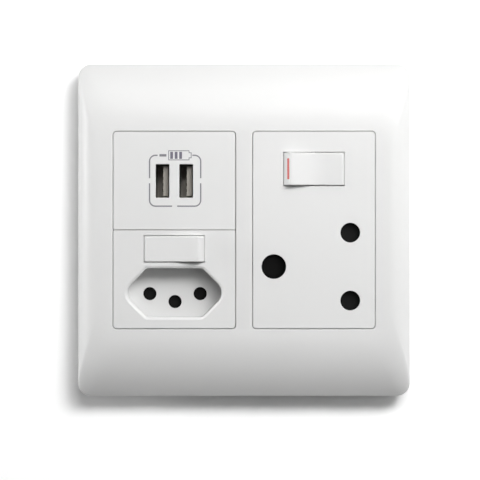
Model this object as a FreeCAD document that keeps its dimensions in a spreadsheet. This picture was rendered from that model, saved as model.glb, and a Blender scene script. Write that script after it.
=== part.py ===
import FreeCAD, Part
import math
import os

import Sketcher
from FreeCAD import Placement, Rotation, Vector

# Double wall plate with a charging port module and two switched sockets.
# X runs to the right, Y into the wall and Z up. The origin is the middle of the plate's rim, on the wall.
# Depths are given as "out": the distance out of the wall towards the user, which is -Y.

DRIVING_SIZES = {
    # cover plate
    "plate_width": 125.0,
    "plate_height": 125.0,
    "plate_depth": 10.5,
    "plate_corner": 4.8,
    "plate_brow_corner": 10.0,
    "plate_wall": 2.2,
    "rim_height": 3.5,
    "end_flat": 1.5,
    "side_flat": 4.9,
    "aperture_width": 46.0,
    "aperture_height": 74.0,
    "aperture_corner": 1.5,
    "aperture_wall": 1.3,
    "column_spacing": 52.2,
    "lug_width": 8.0,
    "lug_thickness": 1.8,
    "lug_inset_across": 22.5,
    "lug_inset_up": 13.5,
    "lug_lift": 0.4,
    "lug_clearance": 0.2,
    # mounting frame and its screws
    "frame_margin": 8.5,
    "frame_depth": 3.0,
    "frame_corner": 4.0,
    "window_lip": 1.7,
    "crossbar": 3.0,
    "fixing_spacing_across": 46.0,
    "fixing_spacing_up": 83.5,
    "fixing_slot_length": 10.0,
    "fixing_screw_radius": 1.75,
    "fixing_clearance": 0.35,
    "fixing_head_radius": 3.2,
    "fixing_head_depth": 2.4,
    "fixing_screw_reach": 20.0,
    "fixing_neck_radius": 1.55,
    "fixing_neck_reach": 0.6,
    "drive_slot": 0.9,
    "drive_depth": 1.2,
    # module covers and rear bases
    "face_proud": 0.4,
    "face_wall": 2.0,
    "face_gap": 0.3,
    "module_corner": 1.3,
    "skirt_wall": 1.7,
    "base_clearance": 0.5,
    "base_wall": 1.2,
    "base_floor": 2.0,
    "base_reach": 24.0,
    "base_corner": 1.5,
    "snap_width": 6.0,
    "snap_height": 0.9,
    "snap_depth": 1.2,
    "snap_rebate": 1.6,
    "snap_clearance": 0.2,
    "loose_gap": 0.3,
    "seat_overlap": 0.5,
    # rockers and what they move
    "rocker_length": 22.35,
    "rocker_gap": 0.25,
    "rocker_end_gap": 0.4,
    "rocker_tilt": 8.0,
    "rocker_land": 0.2,
    "rocker_valley": 25.0,
    "rocker_nose": 1.0,
    "rocker_edge": 0.5,
    "rocker_wall": 1.5,
    "rocker_skirt": 1.6,
    "pivot_depth": 6.2,
    "trunnion_radius": 1.0,
    "trunnion_length": 0.75,
    "running_clearance": 0.06,
    "ear_width": 5.2,
    "ear_thickness": 1.2,
    "ear_lift": 0.05,
    "ear_below_pivot": 1.9,
    "flag_sweep": 5.3,
    "flag_thickness": 0.5,
    "stem_radius": 2.9,
    "stem_reach": 2.5,
    "plunger_radius": 1.5,
    "plunger_reach": 9.4,
    "plunger_back": 2.0,
    "plunger_clearance": 0.1,
    "spring_wire": 0.35,
    "beam_pivot": 5.0,
    "beam_length": 20.4,
    "beam_thickness": 1.0,
    "beam_dish_radius": 3.25,
    "beam_dish_floor": 0.27,
    "beam_pin_radius": 0.8,
    "beam_pin_length": 1.15,
    "beam_bearing_clearance": 0.08,
    "beam_side_gap": 0.25,
    "bracket_wall": 0.9,
    "bracket_shoulder": 0.5,
    "rivet_radius": 1.8,
    "rivet_height": 0.8,
    "rivet_inset": 1.4,
    "rivet_gap": 0.03,
    "strap_thickness": 1.0,
    "strap_width": 5.0,
    # wire terminals
    "terminal_size": 7.0,
    "terminal_front": 9.0,
    "terminal_back": 19.0,
    "wire_depth": 14.0,
    "wire_radius": 2.1,
    "clamp_radius": 1.5,
    "clamp_head_radius": 2.4,
    "clamp_head_depth": 2.4,
    "thread_clearance": 0.05,
    "access_clearance": 0.3,
    "terminal_clearance": 0.4,
    "sleeve_fit": 0.05,
    # case screws
    "case_screw_radius": 1.15,
    "case_head_radius": 2.2,
    "case_head_depth": 1.3,
    "case_boss_radius": 2.2,
    "case_screw_grip": 2.2,
    "case_tube_wall": 0.4,
    "case_tube_gap": 0.2,
    # shutters
    "shutter_overlap": 0.5,
    "plate_hole_clearance": 0.1,
    "shutter_pin_clearance": 0.25,
    "shutter_ramp_land": 0.4,
    "shutter_floor_gap": 0.8,
    "spring_post_width": 4.0,
    "spring_post_height": 1.4,
    # large socket
    "large_rocker_height": 12.3,
    "large_rocker_z": 22.8,
    "large_flag_length": 7.8,
    "large_flag_angle": 32.8,
    "large_beam_width": 6.0,
    "large_pin_spacing": 25.4,
    "large_earth_offset": 28.58,
    "large_earth_x": 15.0,
    "large_line_z": 13.7,
    "large_pin_radius": 3.53,
    "large_earth_pin_radius": 4.36,
    "large_hole_radius": 3.7,
    "large_earth_hole_radius": 4.6,
    "large_plate_front": 6.0,
    "large_plate_back": 4.0,
    "large_shutter_travel": 9.3,
    "large_sleeve_wall": 0.9,
    "large_spring_x": 6.9,
    "large_post_gap": 12.2,
    "large_spine_width": 4.4,
    "large_coil_radius": 0.85,
    "large_feed_x": 12.0,
    "large_low_screw_x": 1.5,
    # small socket
    "small_rocker_height": 9.7,
    "small_rocker_drop": 7.1,
    "small_flag_length": 6.0,
    "small_flag_angle": 28.3,
    "small_beam_width": 5.0,
    "small_pin_spacing": 19.0,
    "small_earth_drop": 3.0,
    "small_line_drop": 24.0,
    "small_pin_radius": 2.25,
    "small_hole_radius": 2.5,
    "small_pin_reach": 19.0,
    "small_plate_front": 1.5,
    "small_plate_thickness": 1.8,
    "small_shutter_travel": 5.8,
    "small_sleeve_wall": 0.8,
    "small_sleeve_lip": 0.5,
    "small_spring_way": 1.6,
    "small_spring_sink": 0.2,
    "small_spring_rest": 1.2,
    "small_earth_tab": 0.7,
    "small_screw_lift": 8.0,
    "small_pin_stop": 0.6,
    "small_link_height": 0.8,
    "small_link_thickness": 2.0,
    "small_riser_width": 3.0,
    "recess_width": 37.6,
    "recess_height": 20.1,
    "recess_tip": 5.0,
    "recess_drop": 23.5,
    "recess_depth": 8.5,
    "recess_draft": 1.1,
    "recess_corner": 2.2,
    "recess_wall": 1.2,
    "recess_floor": 1.5,
    "recess_edge_sink": 0.5,
    "small_base_rim": 2.0,
    # charging module
    "port_opening_width": 5.12,
    "port_opening_height": 12.5,
    "port_spacing": 8.85,
    "port_z": 18.3,
    "shell_wall": 0.3,
    "shell_depth": 14.0,
    "shell_corner": 0.6,
    "port_corner": 0.3,
    "latch_back": 6.0,
    "latch_length": 3.0,
    "latch_height": 2.0,
    "tongue_fit": 0.05,
    "tongue_thickness": 1.84,
    "tongue_height": 11.1,
    "tongue_side_gap": 0.5,
    "tongue_set_back": 1.2,
    "tongue_root": 2.6,
    "port_contact_width": 1.0,
    "port_contact_thickness": 0.25,
    "port_contact_spacing": 2.3,
    "port_contact_set_back": 0.8,
    "charging_rim_gap": 0.3,
    "board_width": 36.0,
    "board_height": 27.0,
    "board_thickness": 1.6,
    "transformer_size": 13.0,
    "transformer_depth": 9.0,
    "transformer_x": -9.0,
    "transformer_drop": 3.0,
    "winding_inset": 4.0,
    "core_inset": 5.0,
    "core_back": 2.0,
    "core_front": 1.5,
    "capacitor_radius": 3.2,
    "capacitor_length": 11.0,
    "capacitor_drop": 6.0,
    "left_capacitor_x": 4.0,
    "right_capacitor_x": 12.0,
    "board_rib_width": 2.2,
    "board_rib_height": 6.0,
    "charge_terminal_width": 17.0,
    "charge_terminal_x": 4.5,
}


def fill_sheet(document):
    """The sheet that holds the driving sizes, one named cell each."""
    made = document.addObject("Spreadsheet::Sheet", "Sizes")
    for row, (name, number) in enumerate(DRIVING_SIZES.items(), start=1):
        made.set(f"A{row}", name)
        made.set(f"B{row}", str(number))
        made.setAlias(f"B{row}", name)
    document.recompute()
    return made


class Size:
    """A size as a formula over the sheet's cells, with the number it gives now."""

    def __init__(self, text, number):
        self.text = text
        self.number = number

    def __add__(self, other):
        return combine(self, "+", other)

    def __radd__(self, other):
        return combine(other, "+", self)

    def __sub__(self, other):
        return combine(self, "-", other)

    def __rsub__(self, other):
        return combine(other, "-", self)

    def __mul__(self, other):
        return combine(self, "*", other)

    def __rmul__(self, other):
        return combine(other, "*", self)

    def __truediv__(self, other):
        return combine(self, "/", other)

    def __neg__(self):
        return combine(0, "-", self)


WORK_OUT = {
    "+": lambda first, second: first + second,
    "-": lambda first, second: first - second,
    "*": lambda first, second: first * second,
    "/": lambda first, second: first / second,
}


def as_size(value):
    return value if isinstance(value, Size) else Size(repr(float(value)), float(value))


def combine(first, sign, second):
    first = as_size(first)
    second = as_size(second)
    number = WORK_OUT[sign](first.number, second.number)
    return Size(f"({first.text} {sign} {second.text})", number)


def root(value):
    return Size(f"sqrt({value.text})", math.sqrt(value.number))


def sine(degrees):
    return Size(f"sin({degrees.text})", math.sin(math.radians(degrees.number)))


def cosine(degrees):
    return Size(f"cos({degrees.text})", math.cos(math.radians(degrees.number)))


PLUNGER_TURNS = 4
SHUTTER_TURNS = 7
PORT_CONTACTS = 4
TINY = 0.001

doc = FreeCAD.newDocument("usb_wall_socket")
sheet = fill_sheet(doc)


class Sizes:
    """Each driving size by its name."""


dim = Sizes()
for size_name in DRIVING_SIZES:
    setattr(dim, size_name, Size(f"Sizes.{size_name}", float(getattr(sheet, size_name))))

nodes = {}


# Helpers for bound shapes

def bind(thing, path, value):
    thing.setExpression(path, as_size(value).text)


def place(thing, x=0, out=0, z=0):
    """Puts a thing at x, at a depth out of the wall and at a height."""
    bind(thing, "Placement.Base.x", x)
    bind(thing, "Placement.Base.y", -as_size(out))
    bind(thing, "Placement.Base.z", z)


def block(name, x, out, z):
    """A box between two values each way."""
    made = doc.addObject("Part::Box", name)
    bind(made, "Length", as_size(x[1]) - x[0])
    bind(made, "Width", as_size(out[1]) - out[0])
    bind(made, "Height", as_size(z[1]) - z[0])
    place(made, x[0], out[1], z[0])
    return made


def about(middle, size):
    """The two values that lie half a size to each side of a middle."""
    middle = as_size(middle)
    half = as_size(size) / 2
    return middle - half, middle + half


def round_bar(name, radius, length, axis, angle):
    made = doc.addObject("Part::Cylinder", name)
    bind(made, "Radius", radius)
    bind(made, "Height", length)
    made.Placement = Placement(Vector(), Rotation(axis, angle))
    return made


def post(name, x, z, out, radius):
    """A round bar square to the wall, between two depths."""
    made = round_bar(name, radius, as_size(out[1]) - out[0], Vector(1, 0, 0), 90)
    place(made, x, out[0], z)
    return made


def upright(name, x, out, z, radius):
    """A round bar along Z."""
    made = round_bar(name, radius, as_size(z[1]) - z[0], Vector(0, 0, 1), 0)
    place(made, x, out, z[0])
    return made


def crosswise(name, x, out, z, radius):
    """A round bar along X."""
    made = round_bar(name, radius, as_size(x[1]) - x[0], Vector(0, 1, 0), 90)
    place(made, x[0], out, z)
    return made


def join(name, things):
    made = doc.addObject("Part::MultiFuse", name)
    made.Shapes = things
    made.Refine = True
    return made


def wrap(name, thing):
    """One thing in a holder that has a placement of its own."""
    made = doc.addObject("Part::Compound", name)
    made.Links = [thing]
    return made


def cut(name, base, tools):
    made = doc.addObject("Part::Cut", name)
    made.Base = base
    made.Tool = tools[0] if len(tools) == 1 else join(name + "_tools", tools)
    made.Refine = True
    return made


def shared(name, first, second):
    made = doc.addObject("Part::MultiCommon", name)
    made.Shapes = [first, second]
    return made


def keep(name, thing, x=0, out=0, z=0):
    """Names a finished sub-part and moves it to its place."""
    place(thing, x, out, z)
    thing.Label = name
    nodes[name] = thing
    return thing


def keep_turned(name, thing, degrees, x, out, z):
    """Names a sub-part that was built round its pivot, turned about Z."""
    thing.Placement = Placement(Vector(), Rotation(Vector(0, 0, 1), as_size(degrees).number))
    bind(thing, "Placement.Rotation.Angle", degrees)
    return keep(name, thing, x, out, z)


# Helpers for sketches

def set_size(sketch, constraint, name, value):
    """Adds a constraint with a value and binds the value to the sheet."""
    index = sketch.addConstraint(constraint)
    sketch.renameConstraint(index, name)
    sketch.setExpression(f"Constraints.{name}", as_size(value).text)


def face_sketch(name, x, out, z, body=None):
    """A sketch that faces the user, in a body or on its own, with its origin at x and z."""
    if body is None:
        made = doc.addObject("Sketcher::SketchObject", name)
        made.Placement = Placement(Vector(), Rotation(Vector(1, 0, 0), 90))
        place(made, x, out, z)
        return made
    made = body.newObject("Sketcher::SketchObject", name)
    plane = [f for f in body.Origin.OriginFeatures if f.Role == "XZ_Plane"][0]
    made.AttachmentSupport = (plane, [""])
    made.MapMode = "FlatFace"
    bind(made, "AttachmentOffset.Base.x", x)
    bind(made, "AttachmentOffset.Base.y", z)
    bind(made, "AttachmentOffset.Base.z", out)
    return made


def draw_rounded_rectangle(sketch, width, height, radius):
    """Four lines and four tangent arcs round the sketch's origin."""
    half_x = as_size(width).number / 2
    half_z = as_size(height).number / 2
    r = as_size(radius).number
    centres = [
        (half_x - r, half_z - r, 0),
        (r - half_x, half_z - r, 90),
        (r - half_x, r - half_z, 180),
        (half_x - r, r - half_z, 270),
    ]
    for x, z, start in centres:
        circle = Part.Circle(Vector(x, z, 0), Vector(0, 0, 1), r)
        sketch.addGeometry(Part.ArcOfCircle(circle, math.radians(start), math.radians(start + 90)))
    for corner in range(4):
        begin = sketch.getPoint(corner, 2)
        end = sketch.getPoint((corner + 1) % 4, 1)
        sketch.addGeometry(Part.LineSegment(begin, end))
        sketch.addConstraint(Sketcher.Constraint("Tangent", corner, 2, corner + 4, 1))
        sketch.addConstraint(Sketcher.Constraint("Tangent", corner + 4, 2, (corner + 1) % 4, 1))
        side = "Horizontal" if corner % 2 == 0 else "Vertical"
        sketch.addConstraint(Sketcher.Constraint(side, corner + 4))
    for corner in range(1, 4):
        sketch.addConstraint(Sketcher.Constraint("Equal", 0, corner))
    sketch.addConstraint(Sketcher.Constraint("Symmetric", 0, 3, 2, 3, -1, 1))
    set_size(sketch, Sketcher.Constraint("Radius", 0, r), "corner_radius", radius)
    across = as_size(width) - 2 * as_size(radius)
    upwards = as_size(height) - 2 * as_size(radius)
    set_size(sketch, Sketcher.Constraint("DistanceX", 1, 3, 0, 3, across.number), "across", across)
    set_size(sketch, Sketcher.Constraint("DistanceY", 3, 3, 0, 3, upwards.number), "upwards", upwards)


def draw_polygon(sketch, points):
    """Straight lines through points, each tied to the sketch's origin."""
    count = len(points)
    places = [(as_size(x), as_size(z)) for x, z in points]
    for index in range(count):
        begin = Vector(places[index][0].number, places[index][1].number, 0)
        follow = places[(index + 1) % count]
        end = Vector(follow[0].number, follow[1].number, 0)
        sketch.addGeometry(Part.LineSegment(begin, end))
    for index in range(count):
        joined = Sketcher.Constraint("Coincident", index, 2, (index + 1) % count, 1)
        sketch.addConstraint(joined)
    for index, (x, z) in enumerate(places):
        if abs(x.number) < 1e-9:
            sketch.addConstraint(Sketcher.Constraint("PointOnObject", index, 1, -2))
        else:
            rule = Sketcher.Constraint("DistanceX", -1, 1, index, 1, x.number)
            set_size(sketch, rule, f"x_{index}", x)
        if abs(z.number) < 1e-9:
            sketch.addConstraint(Sketcher.Constraint("PointOnObject", index, 1, -1))
        else:
            rule = Sketcher.Constraint("DistanceY", -1, 1, index, 1, z.number)
            set_size(sketch, rule, f"z_{index}", z)


def extrude(name, sketch, length, both_ways=False):
    made = doc.addObject("Part::Extrusion", name)
    made.Base = sketch
    made.DirMode = "Normal"
    made.Solid = True
    made.Symmetric = both_ways
    bind(made, "LengthFwd", length)
    return made


def rounded_block(name, width, height, radius, out, x=0, z=0):
    """A block with rounded upright corners, between two depths."""
    sketch = face_sketch(name + "_outline", x, out[0], z)
    draw_rounded_rectangle(sketch, width, height, radius)
    return extrude(name, sketch, as_size(out[1]) - out[0])


def body_of(name):
    return doc.addObject("PartDesign::Body", name)


def rounded_feature(body, kind, name, outline, at, length, reverse=False):
    """A pad or pocket of a rounded rectangle: outline is width, height and corner, at is x, out and z."""
    sketch = face_sketch(name + "_outline", at[0], at[1], at[2], body)
    draw_rounded_rectangle(sketch, *outline)
    made = body.newObject(f"PartDesign::{kind}", name)
    made.Profile = sketch
    made.Reversed = reverse
    bind(made, "Length", length)
    return made


# Depths that several pieces share, and how far a cutting tool runs past what it cuts

past = as_size(1)
face_out = dim.plate_depth + dim.face_proud
face_back = face_out - dim.face_wall
pivot_out = face_out - dim.pivot_depth
window_width = dim.aperture_width - 2 * dim.window_lip
window_height = dim.aperture_height - 2 * dim.window_lip
half_window_height = (window_height - dim.crossbar) / 2
half_window_z = (half_window_height + dim.crossbar) / 2
module_width = dim.aperture_width - 2 * dim.face_gap
module_height = dim.aperture_height - 2 * dim.face_gap
half_module_height = (dim.aperture_height - 3 * dim.face_gap) / 2
half_module_z = (half_module_height + dim.face_gap) / 2
base_width = window_width - 2 * dim.base_clearance
base_inner = base_width / 2 - dim.base_wall
lug_spacing_across = dim.plate_width - 2 * dim.lug_inset_across
lug_spacing_up = dim.plate_height - 2 * dim.lug_inset_up
left_column = -(dim.column_spacing / 2)
right_column = dim.column_spacing / 2


# Cover plate

dome = dim.plate_depth - dim.rim_height
end_band = (dim.plate_height - dim.aperture_height) / 2 - dim.end_flat
side_band = (dim.plate_width - dim.column_spacing - dim.aperture_width) / 2 - dim.side_flat
end_radius = (end_band * end_band + dome * dome) / (2 * dome)
side_radius = (side_band * side_band + dome * dome) / (2 * dome)
DOME_STEPS = 7


def band_reach(radius, drop):
    """How far from the flat front a band has come once it has dropped this much."""
    return root(radius * radius - (radius - drop) * (radius - drop))


def dome_outline(step, inset):
    """The plate's outline at one level of its domed front, or that of its inside."""
    share = 1 - step / (DOME_STEPS - 1)
    drop = dome * (share * share)
    width = dim.plate_width - 2 * side_band + 2 * band_reach(side_radius, drop) - 2 * inset
    height = dim.plate_height - 2 * end_band + 2 * band_reach(end_radius, drop) - 2 * inset
    corner = dim.plate_brow_corner + (dim.plate_corner - dim.plate_brow_corner) * share
    return width, height, corner - inset / 2, dim.plate_depth - drop


def dome_loft(body, kind, name, inset, sink):
    sketches = []
    for step in range(DOME_STEPS):
        width, height, corner, out = dome_outline(step, inset)
        sketch = face_sketch(f"{name}_level_{step}", 0, out - sink, 0, body)
        draw_rounded_rectangle(sketch, width, height, corner)
        sketches.append(sketch)
    made = body.newObject(f"PartDesign::{kind}", name)
    made.Profile = sketches[0]
    made.Sections = sketches[1:]
    return made


def make_cover_plate():
    body = body_of("cover_plate_body")
    wall = dim.plate_wall
    rim = (dim.plate_width, dim.plate_height, dim.plate_corner)
    rounded_feature(body, "Pad", "plate_rim", rim, (0, 0, 0), dim.rim_height)
    dome_loft(body, "AdditiveLoft", "plate_dome", as_size(0), as_size(0))
    inside = (dim.plate_width - 2 * wall, dim.plate_height - 2 * wall, dim.plate_corner - wall / 2)
    rounded_feature(body, "Pocket", "rim_hollow", inside, (0, 0, 0), dim.rim_height - wall, True)
    dome_loft(body, "SubtractiveLoft", "dome_hollow", wall, wall)
    roof = dim.plate_depth - wall / 2
    for side, x in (("left", left_column), ("right", right_column)):
        frame = (
            dim.aperture_width + 2 * dim.aperture_wall,
            dim.aperture_height + 2 * dim.aperture_wall,
            dim.aperture_corner + dim.aperture_wall,
        )
        at = (x, dim.frame_depth, 0)
        rounded_feature(body, "Pad", f"{side}_return", frame, at, roof - dim.frame_depth)
    for side, x in (("left", left_column), ("right", right_column)):
        opening = (dim.aperture_width, dim.aperture_height, dim.aperture_corner)
        at = (x, dim.plate_depth + past, 0)
        rounded_feature(body, "Pocket", f"{side}_aperture", opening, at, dim.plate_depth)
    lug_roof = dim.plate_depth - wall * 1.5
    for index, (side, rise) in enumerate(((-1, -1), (-1, 1), (1, -1), (1, 1))):
        at = (side * lug_spacing_across / 2, dim.lug_lift, rise * lug_spacing_up / 2)
        lug = (dim.lug_width, dim.lug_thickness, dim.lug_thickness / 4)
        rounded_feature(body, "Pad", f"clip_lug_{index}", lug, at, lug_roof - dim.lug_lift)
    keep("cover_plate", body)


# Mounting frame and the screws that hold it to the wall box

def make_mounting_frame():
    body = body_of("mounting_frame_body")
    outline = (
        dim.plate_width - 2 * dim.frame_margin, dim.plate_height - 2 * dim.frame_margin,
        dim.frame_corner,
    )
    rounded_feature(body, "Pad", "frame_sheet", outline, (0, 0, 0), dim.frame_depth)
    front = dim.frame_depth + past
    through = dim.frame_depth + 2
    windows = {
        "right_window": (window_width, window_height, right_column, as_size(0)),
        "upper_window": (window_width, half_window_height, left_column, half_window_z),
        "lower_window": (window_width, half_window_height, left_column, -half_window_z),
    }
    for name, (width, height, x, z) in windows.items():
        outline = (width, height, dim.base_corner)
        rounded_feature(body, "Pocket", name, outline, (x, front, z), through)
    rebate_reach = 2 * (dim.snap_height + dim.loose_gap)
    for name, (width, height, x, z) in windows.items():
        outline = (width + rebate_reach, dim.snap_width + 2 * dim.loose_gap, dim.loose_gap)
        at = (x, 0, z)
        rounded_feature(body, "Pocket", f"{name}_rebate", outline, at, dim.snap_rebate, True)
    slot_radius = dim.fixing_screw_radius + dim.fixing_clearance
    lug_slot = (
        dim.lug_width + 2 * dim.lug_clearance,
        dim.lug_thickness + 2 * dim.lug_clearance,
        dim.lug_thickness / 4,
    )
    for index, (side, rise) in enumerate(((-1, -1), (-1, 1), (1, -1), (1, 1))):
        x = side * dim.fixing_spacing_across / 2
        z = rise * dim.fixing_spacing_up / 2
        slot = (dim.fixing_slot_length, 2 * slot_radius, slot_radius * 0.999)
        rounded_feature(body, "Pocket", f"fixing_slot_{index}", slot, (x, front, z), through)
        x = side * lug_spacing_across / 2
        z = rise * lug_spacing_up / 2
        rounded_feature(body, "Pocket", f"lug_slot_{index}", lug_slot, (x, front, z), through)
    keep("mounting_frame", body)


def slotted_screw(name, x, z, head, tip, radius, head_radius, cross=False):
    """A screw square to the wall. head is the head's two depths, its outer face second."""
    outer = head[1]
    towards = 1 if (outer - head[0]).number > 0 else -1
    low, high = (head[0], outer) if towards > 0 else (outer, head[0])
    shank = (tip, head[0]) if towards > 0 else (head[0], tip)
    solid = join(name + "_blank", [
        post(name + "_head", x, z, (low, high), head_radius),
        post(name + "_shank", x, z, shank, radius),
    ])
    depth = (outer - dim.drive_depth * towards, outer + towards)
    depth = depth if towards > 0 else (depth[1], depth[0])
    length = 2 * as_size(head_radius) + past
    tools = [block(name + "_drive", about(x, length), depth, about(z, dim.drive_slot))]
    if cross:
        short = as_size(head_radius) * 1.2
        tools = [
            block(name + "_drive", about(x, short), depth, about(z, dim.drive_slot)),
            block(name + "_drive_across", about(x, dim.drive_slot), depth, about(z, short)),
        ]
    return cut(name, solid, tools)


def make_box_screws():
    screws = []
    head = (dim.frame_depth, dim.frame_depth + dim.fixing_head_depth)
    neck_end = -dim.fixing_neck_reach
    for index, (side, rise) in enumerate(((-1, -1), (-1, 1), (1, -1), (1, 1))):
        x = side * dim.fixing_spacing_across / 2
        z = rise * dim.fixing_spacing_up / 2
        screws.append(slotted_screw(
            f"box_screw_{index}", x, z, head, neck_end - dim.seat_overlap,
            dim.fixing_neck_radius, dim.fixing_head_radius, cross=True,
        ))
        thread = (-dim.fixing_screw_reach, neck_end)
        screws.append(post(f"box_thread_{index}", x, z, thread, dim.fixing_screw_radius))
    keep("box_screws", join("box_screw_set", screws))


# Module covers and bases

def cover_shell(name, height, z):
    """A module's face with its skirt, open at the back."""
    outer = rounded_block(
        name + "_outer", module_width, height, dim.module_corner, (dim.frame_depth, face_out), 0, z
    )
    skirt = dim.skirt_wall
    inner = rounded_block(
        name + "_inner", module_width - 2 * skirt, height - 2 * skirt, dim.module_corner / 2,
        (dim.frame_depth - past, face_back), 0, z,
    )
    return cut(name + "_shell", outer, [inner])


def base_shell(name, height, z, rim):
    """A module's rear base: four walls and a floor, with snaps that catch in the frame's rebates."""
    outer = rounded_block(
        name + "_outer", base_width, height, dim.base_corner, (-dim.base_reach, rim), 0, z
    )
    snap_front = dim.snap_rebate - dim.snap_clearance
    snap_reach = base_width / 2 + dim.base_clearance + dim.snap_height
    parts = [outer]
    for side in (-1, 1):
        edges = (base_width / 2 - dim.base_wall / 2, snap_reach)
        x = edges if side > 0 else (-edges[1], -edges[0])
        parts.append(block(
            f"{name}_snap_{side + 1}", x, (snap_front - dim.snap_depth, snap_front),
            about(z, dim.snap_width),
        ))
    inner = rounded_block(
        name + "_inner", base_width - 2 * dim.base_wall, height - 2 * dim.base_wall,
        dim.base_corner / 2, (-dim.base_reach + dim.base_floor, rim + past), 0, z,
    )
    return cut(name + "_shell", join(name + "_blank", parts), [inner])


def case_screw_parts(name, x, z, boss_front, boss_end, tube_end):
    """A screw from the back, the tube round it in the base and the boss it bites in the cover."""
    inside = dim.case_screw_radius + dim.thread_clearance
    grip = boss_end + dim.case_screw_grip
    floor_back = -dim.base_reach
    seat = floor_back + dim.case_head_depth + dim.loose_gap
    return {
        "boss": post(name + "_boss", x, z, (boss_end, boss_front), dim.case_boss_radius),
        "boss_hole": post(name + "_boss_hole", x, z, (boss_end - past, grip + dim.loose_gap), inside),
        "tube": post(
            name + "_tube", x, z, (floor_back + dim.seat_overlap, tube_end),
            dim.case_boss_radius + dim.case_tube_wall,
        ),
        "tube_hole": post(name + "_tube_hole", x, z, (floor_back - past, tube_end + past), inside),
        "head_hole": post(
            name + "_head_hole", x, z, (floor_back - past, seat),
            dim.case_head_radius + dim.access_clearance,
        ),
        "plate_hole": post(
            name + "_plate_hole", x, z, (tube_end - past, boss_end + past),
            inside + dim.case_tube_gap,
        ),
        "screw": slotted_screw(
            name + "_screw", x, z, (seat, seat - dim.case_head_depth),
            grip, dim.case_screw_radius, dim.case_head_radius, cross=True,
        ),
    }


def terminal(name, x, z, wire):
    """A brass wire terminal with its clamp screw. wire is x or z, the way the wire goes in."""
    front = -dim.terminal_front
    back = -dim.terminal_back
    size = dim.terminal_size
    parts = {"block": block(name + "_block", about(x, size), (back, front), about(z, size))}
    depth = -dim.wire_depth
    reach = size / 2 + past
    if wire == "z":
        hole = upright(name + "_wire_hole", x, depth, (z - reach, z + reach), dim.wire_radius)
    else:
        hole = crosswise(name + "_wire_hole", (x - reach, x + reach), depth, z, dim.wire_radius)
    tapped = post(
        name + "_tapped", x, z, (back - past, depth), dim.clamp_radius + dim.thread_clearance
    )
    head_front = back - dim.loose_gap
    parts["holes"] = [hole, tapped]
    parts["screw"] = slotted_screw(
        name + "_screw", x, z, (head_front, head_front - dim.clamp_head_depth),
        depth - dim.wire_radius, dim.clamp_radius, dim.clamp_head_radius,
    )
    parts["access"] = post(
        name + "_access", x, z, (-dim.base_reach - past, -dim.base_reach + dim.base_floor + past),
        dim.clamp_head_radius + dim.access_clearance,
    )
    return parts


def spring_along_z(name, x, out, z, radius, turns):
    """A compression spring between two heights."""
    helix = doc.addObject("Part::Helix", name + "_line")
    wire = dim.spring_wire / 2
    height = as_size(z[1]) - z[0] - dim.spring_wire
    bind(helix, "Height", height)
    bind(helix, "Pitch", height / turns)
    bind(helix, "Radius", radius)
    helix.SegmentLength = 1
    section = doc.addObject("Part::Circle", name + "_wire")
    bind(section, "Radius", wire)
    section.Placement = Placement(Vector(), Rotation(Vector(1, 0, 0), 90))
    bind(section, "Placement.Base.x", radius)
    made = doc.addObject("Part::Sweep", name)
    made.Sections = [section]
    made.Spine = (helix, [])
    made.Solid = True
    made.Frenet = True
    place(made, x, out, z[0] + wire)
    return made


# Rocker switch

rocker_radius = root(
    dim.rocker_length * dim.rocker_length / 4 + dim.pivot_depth * dim.pivot_depth
)
rocker_face = dim.pivot_depth + dim.rocker_land


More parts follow.
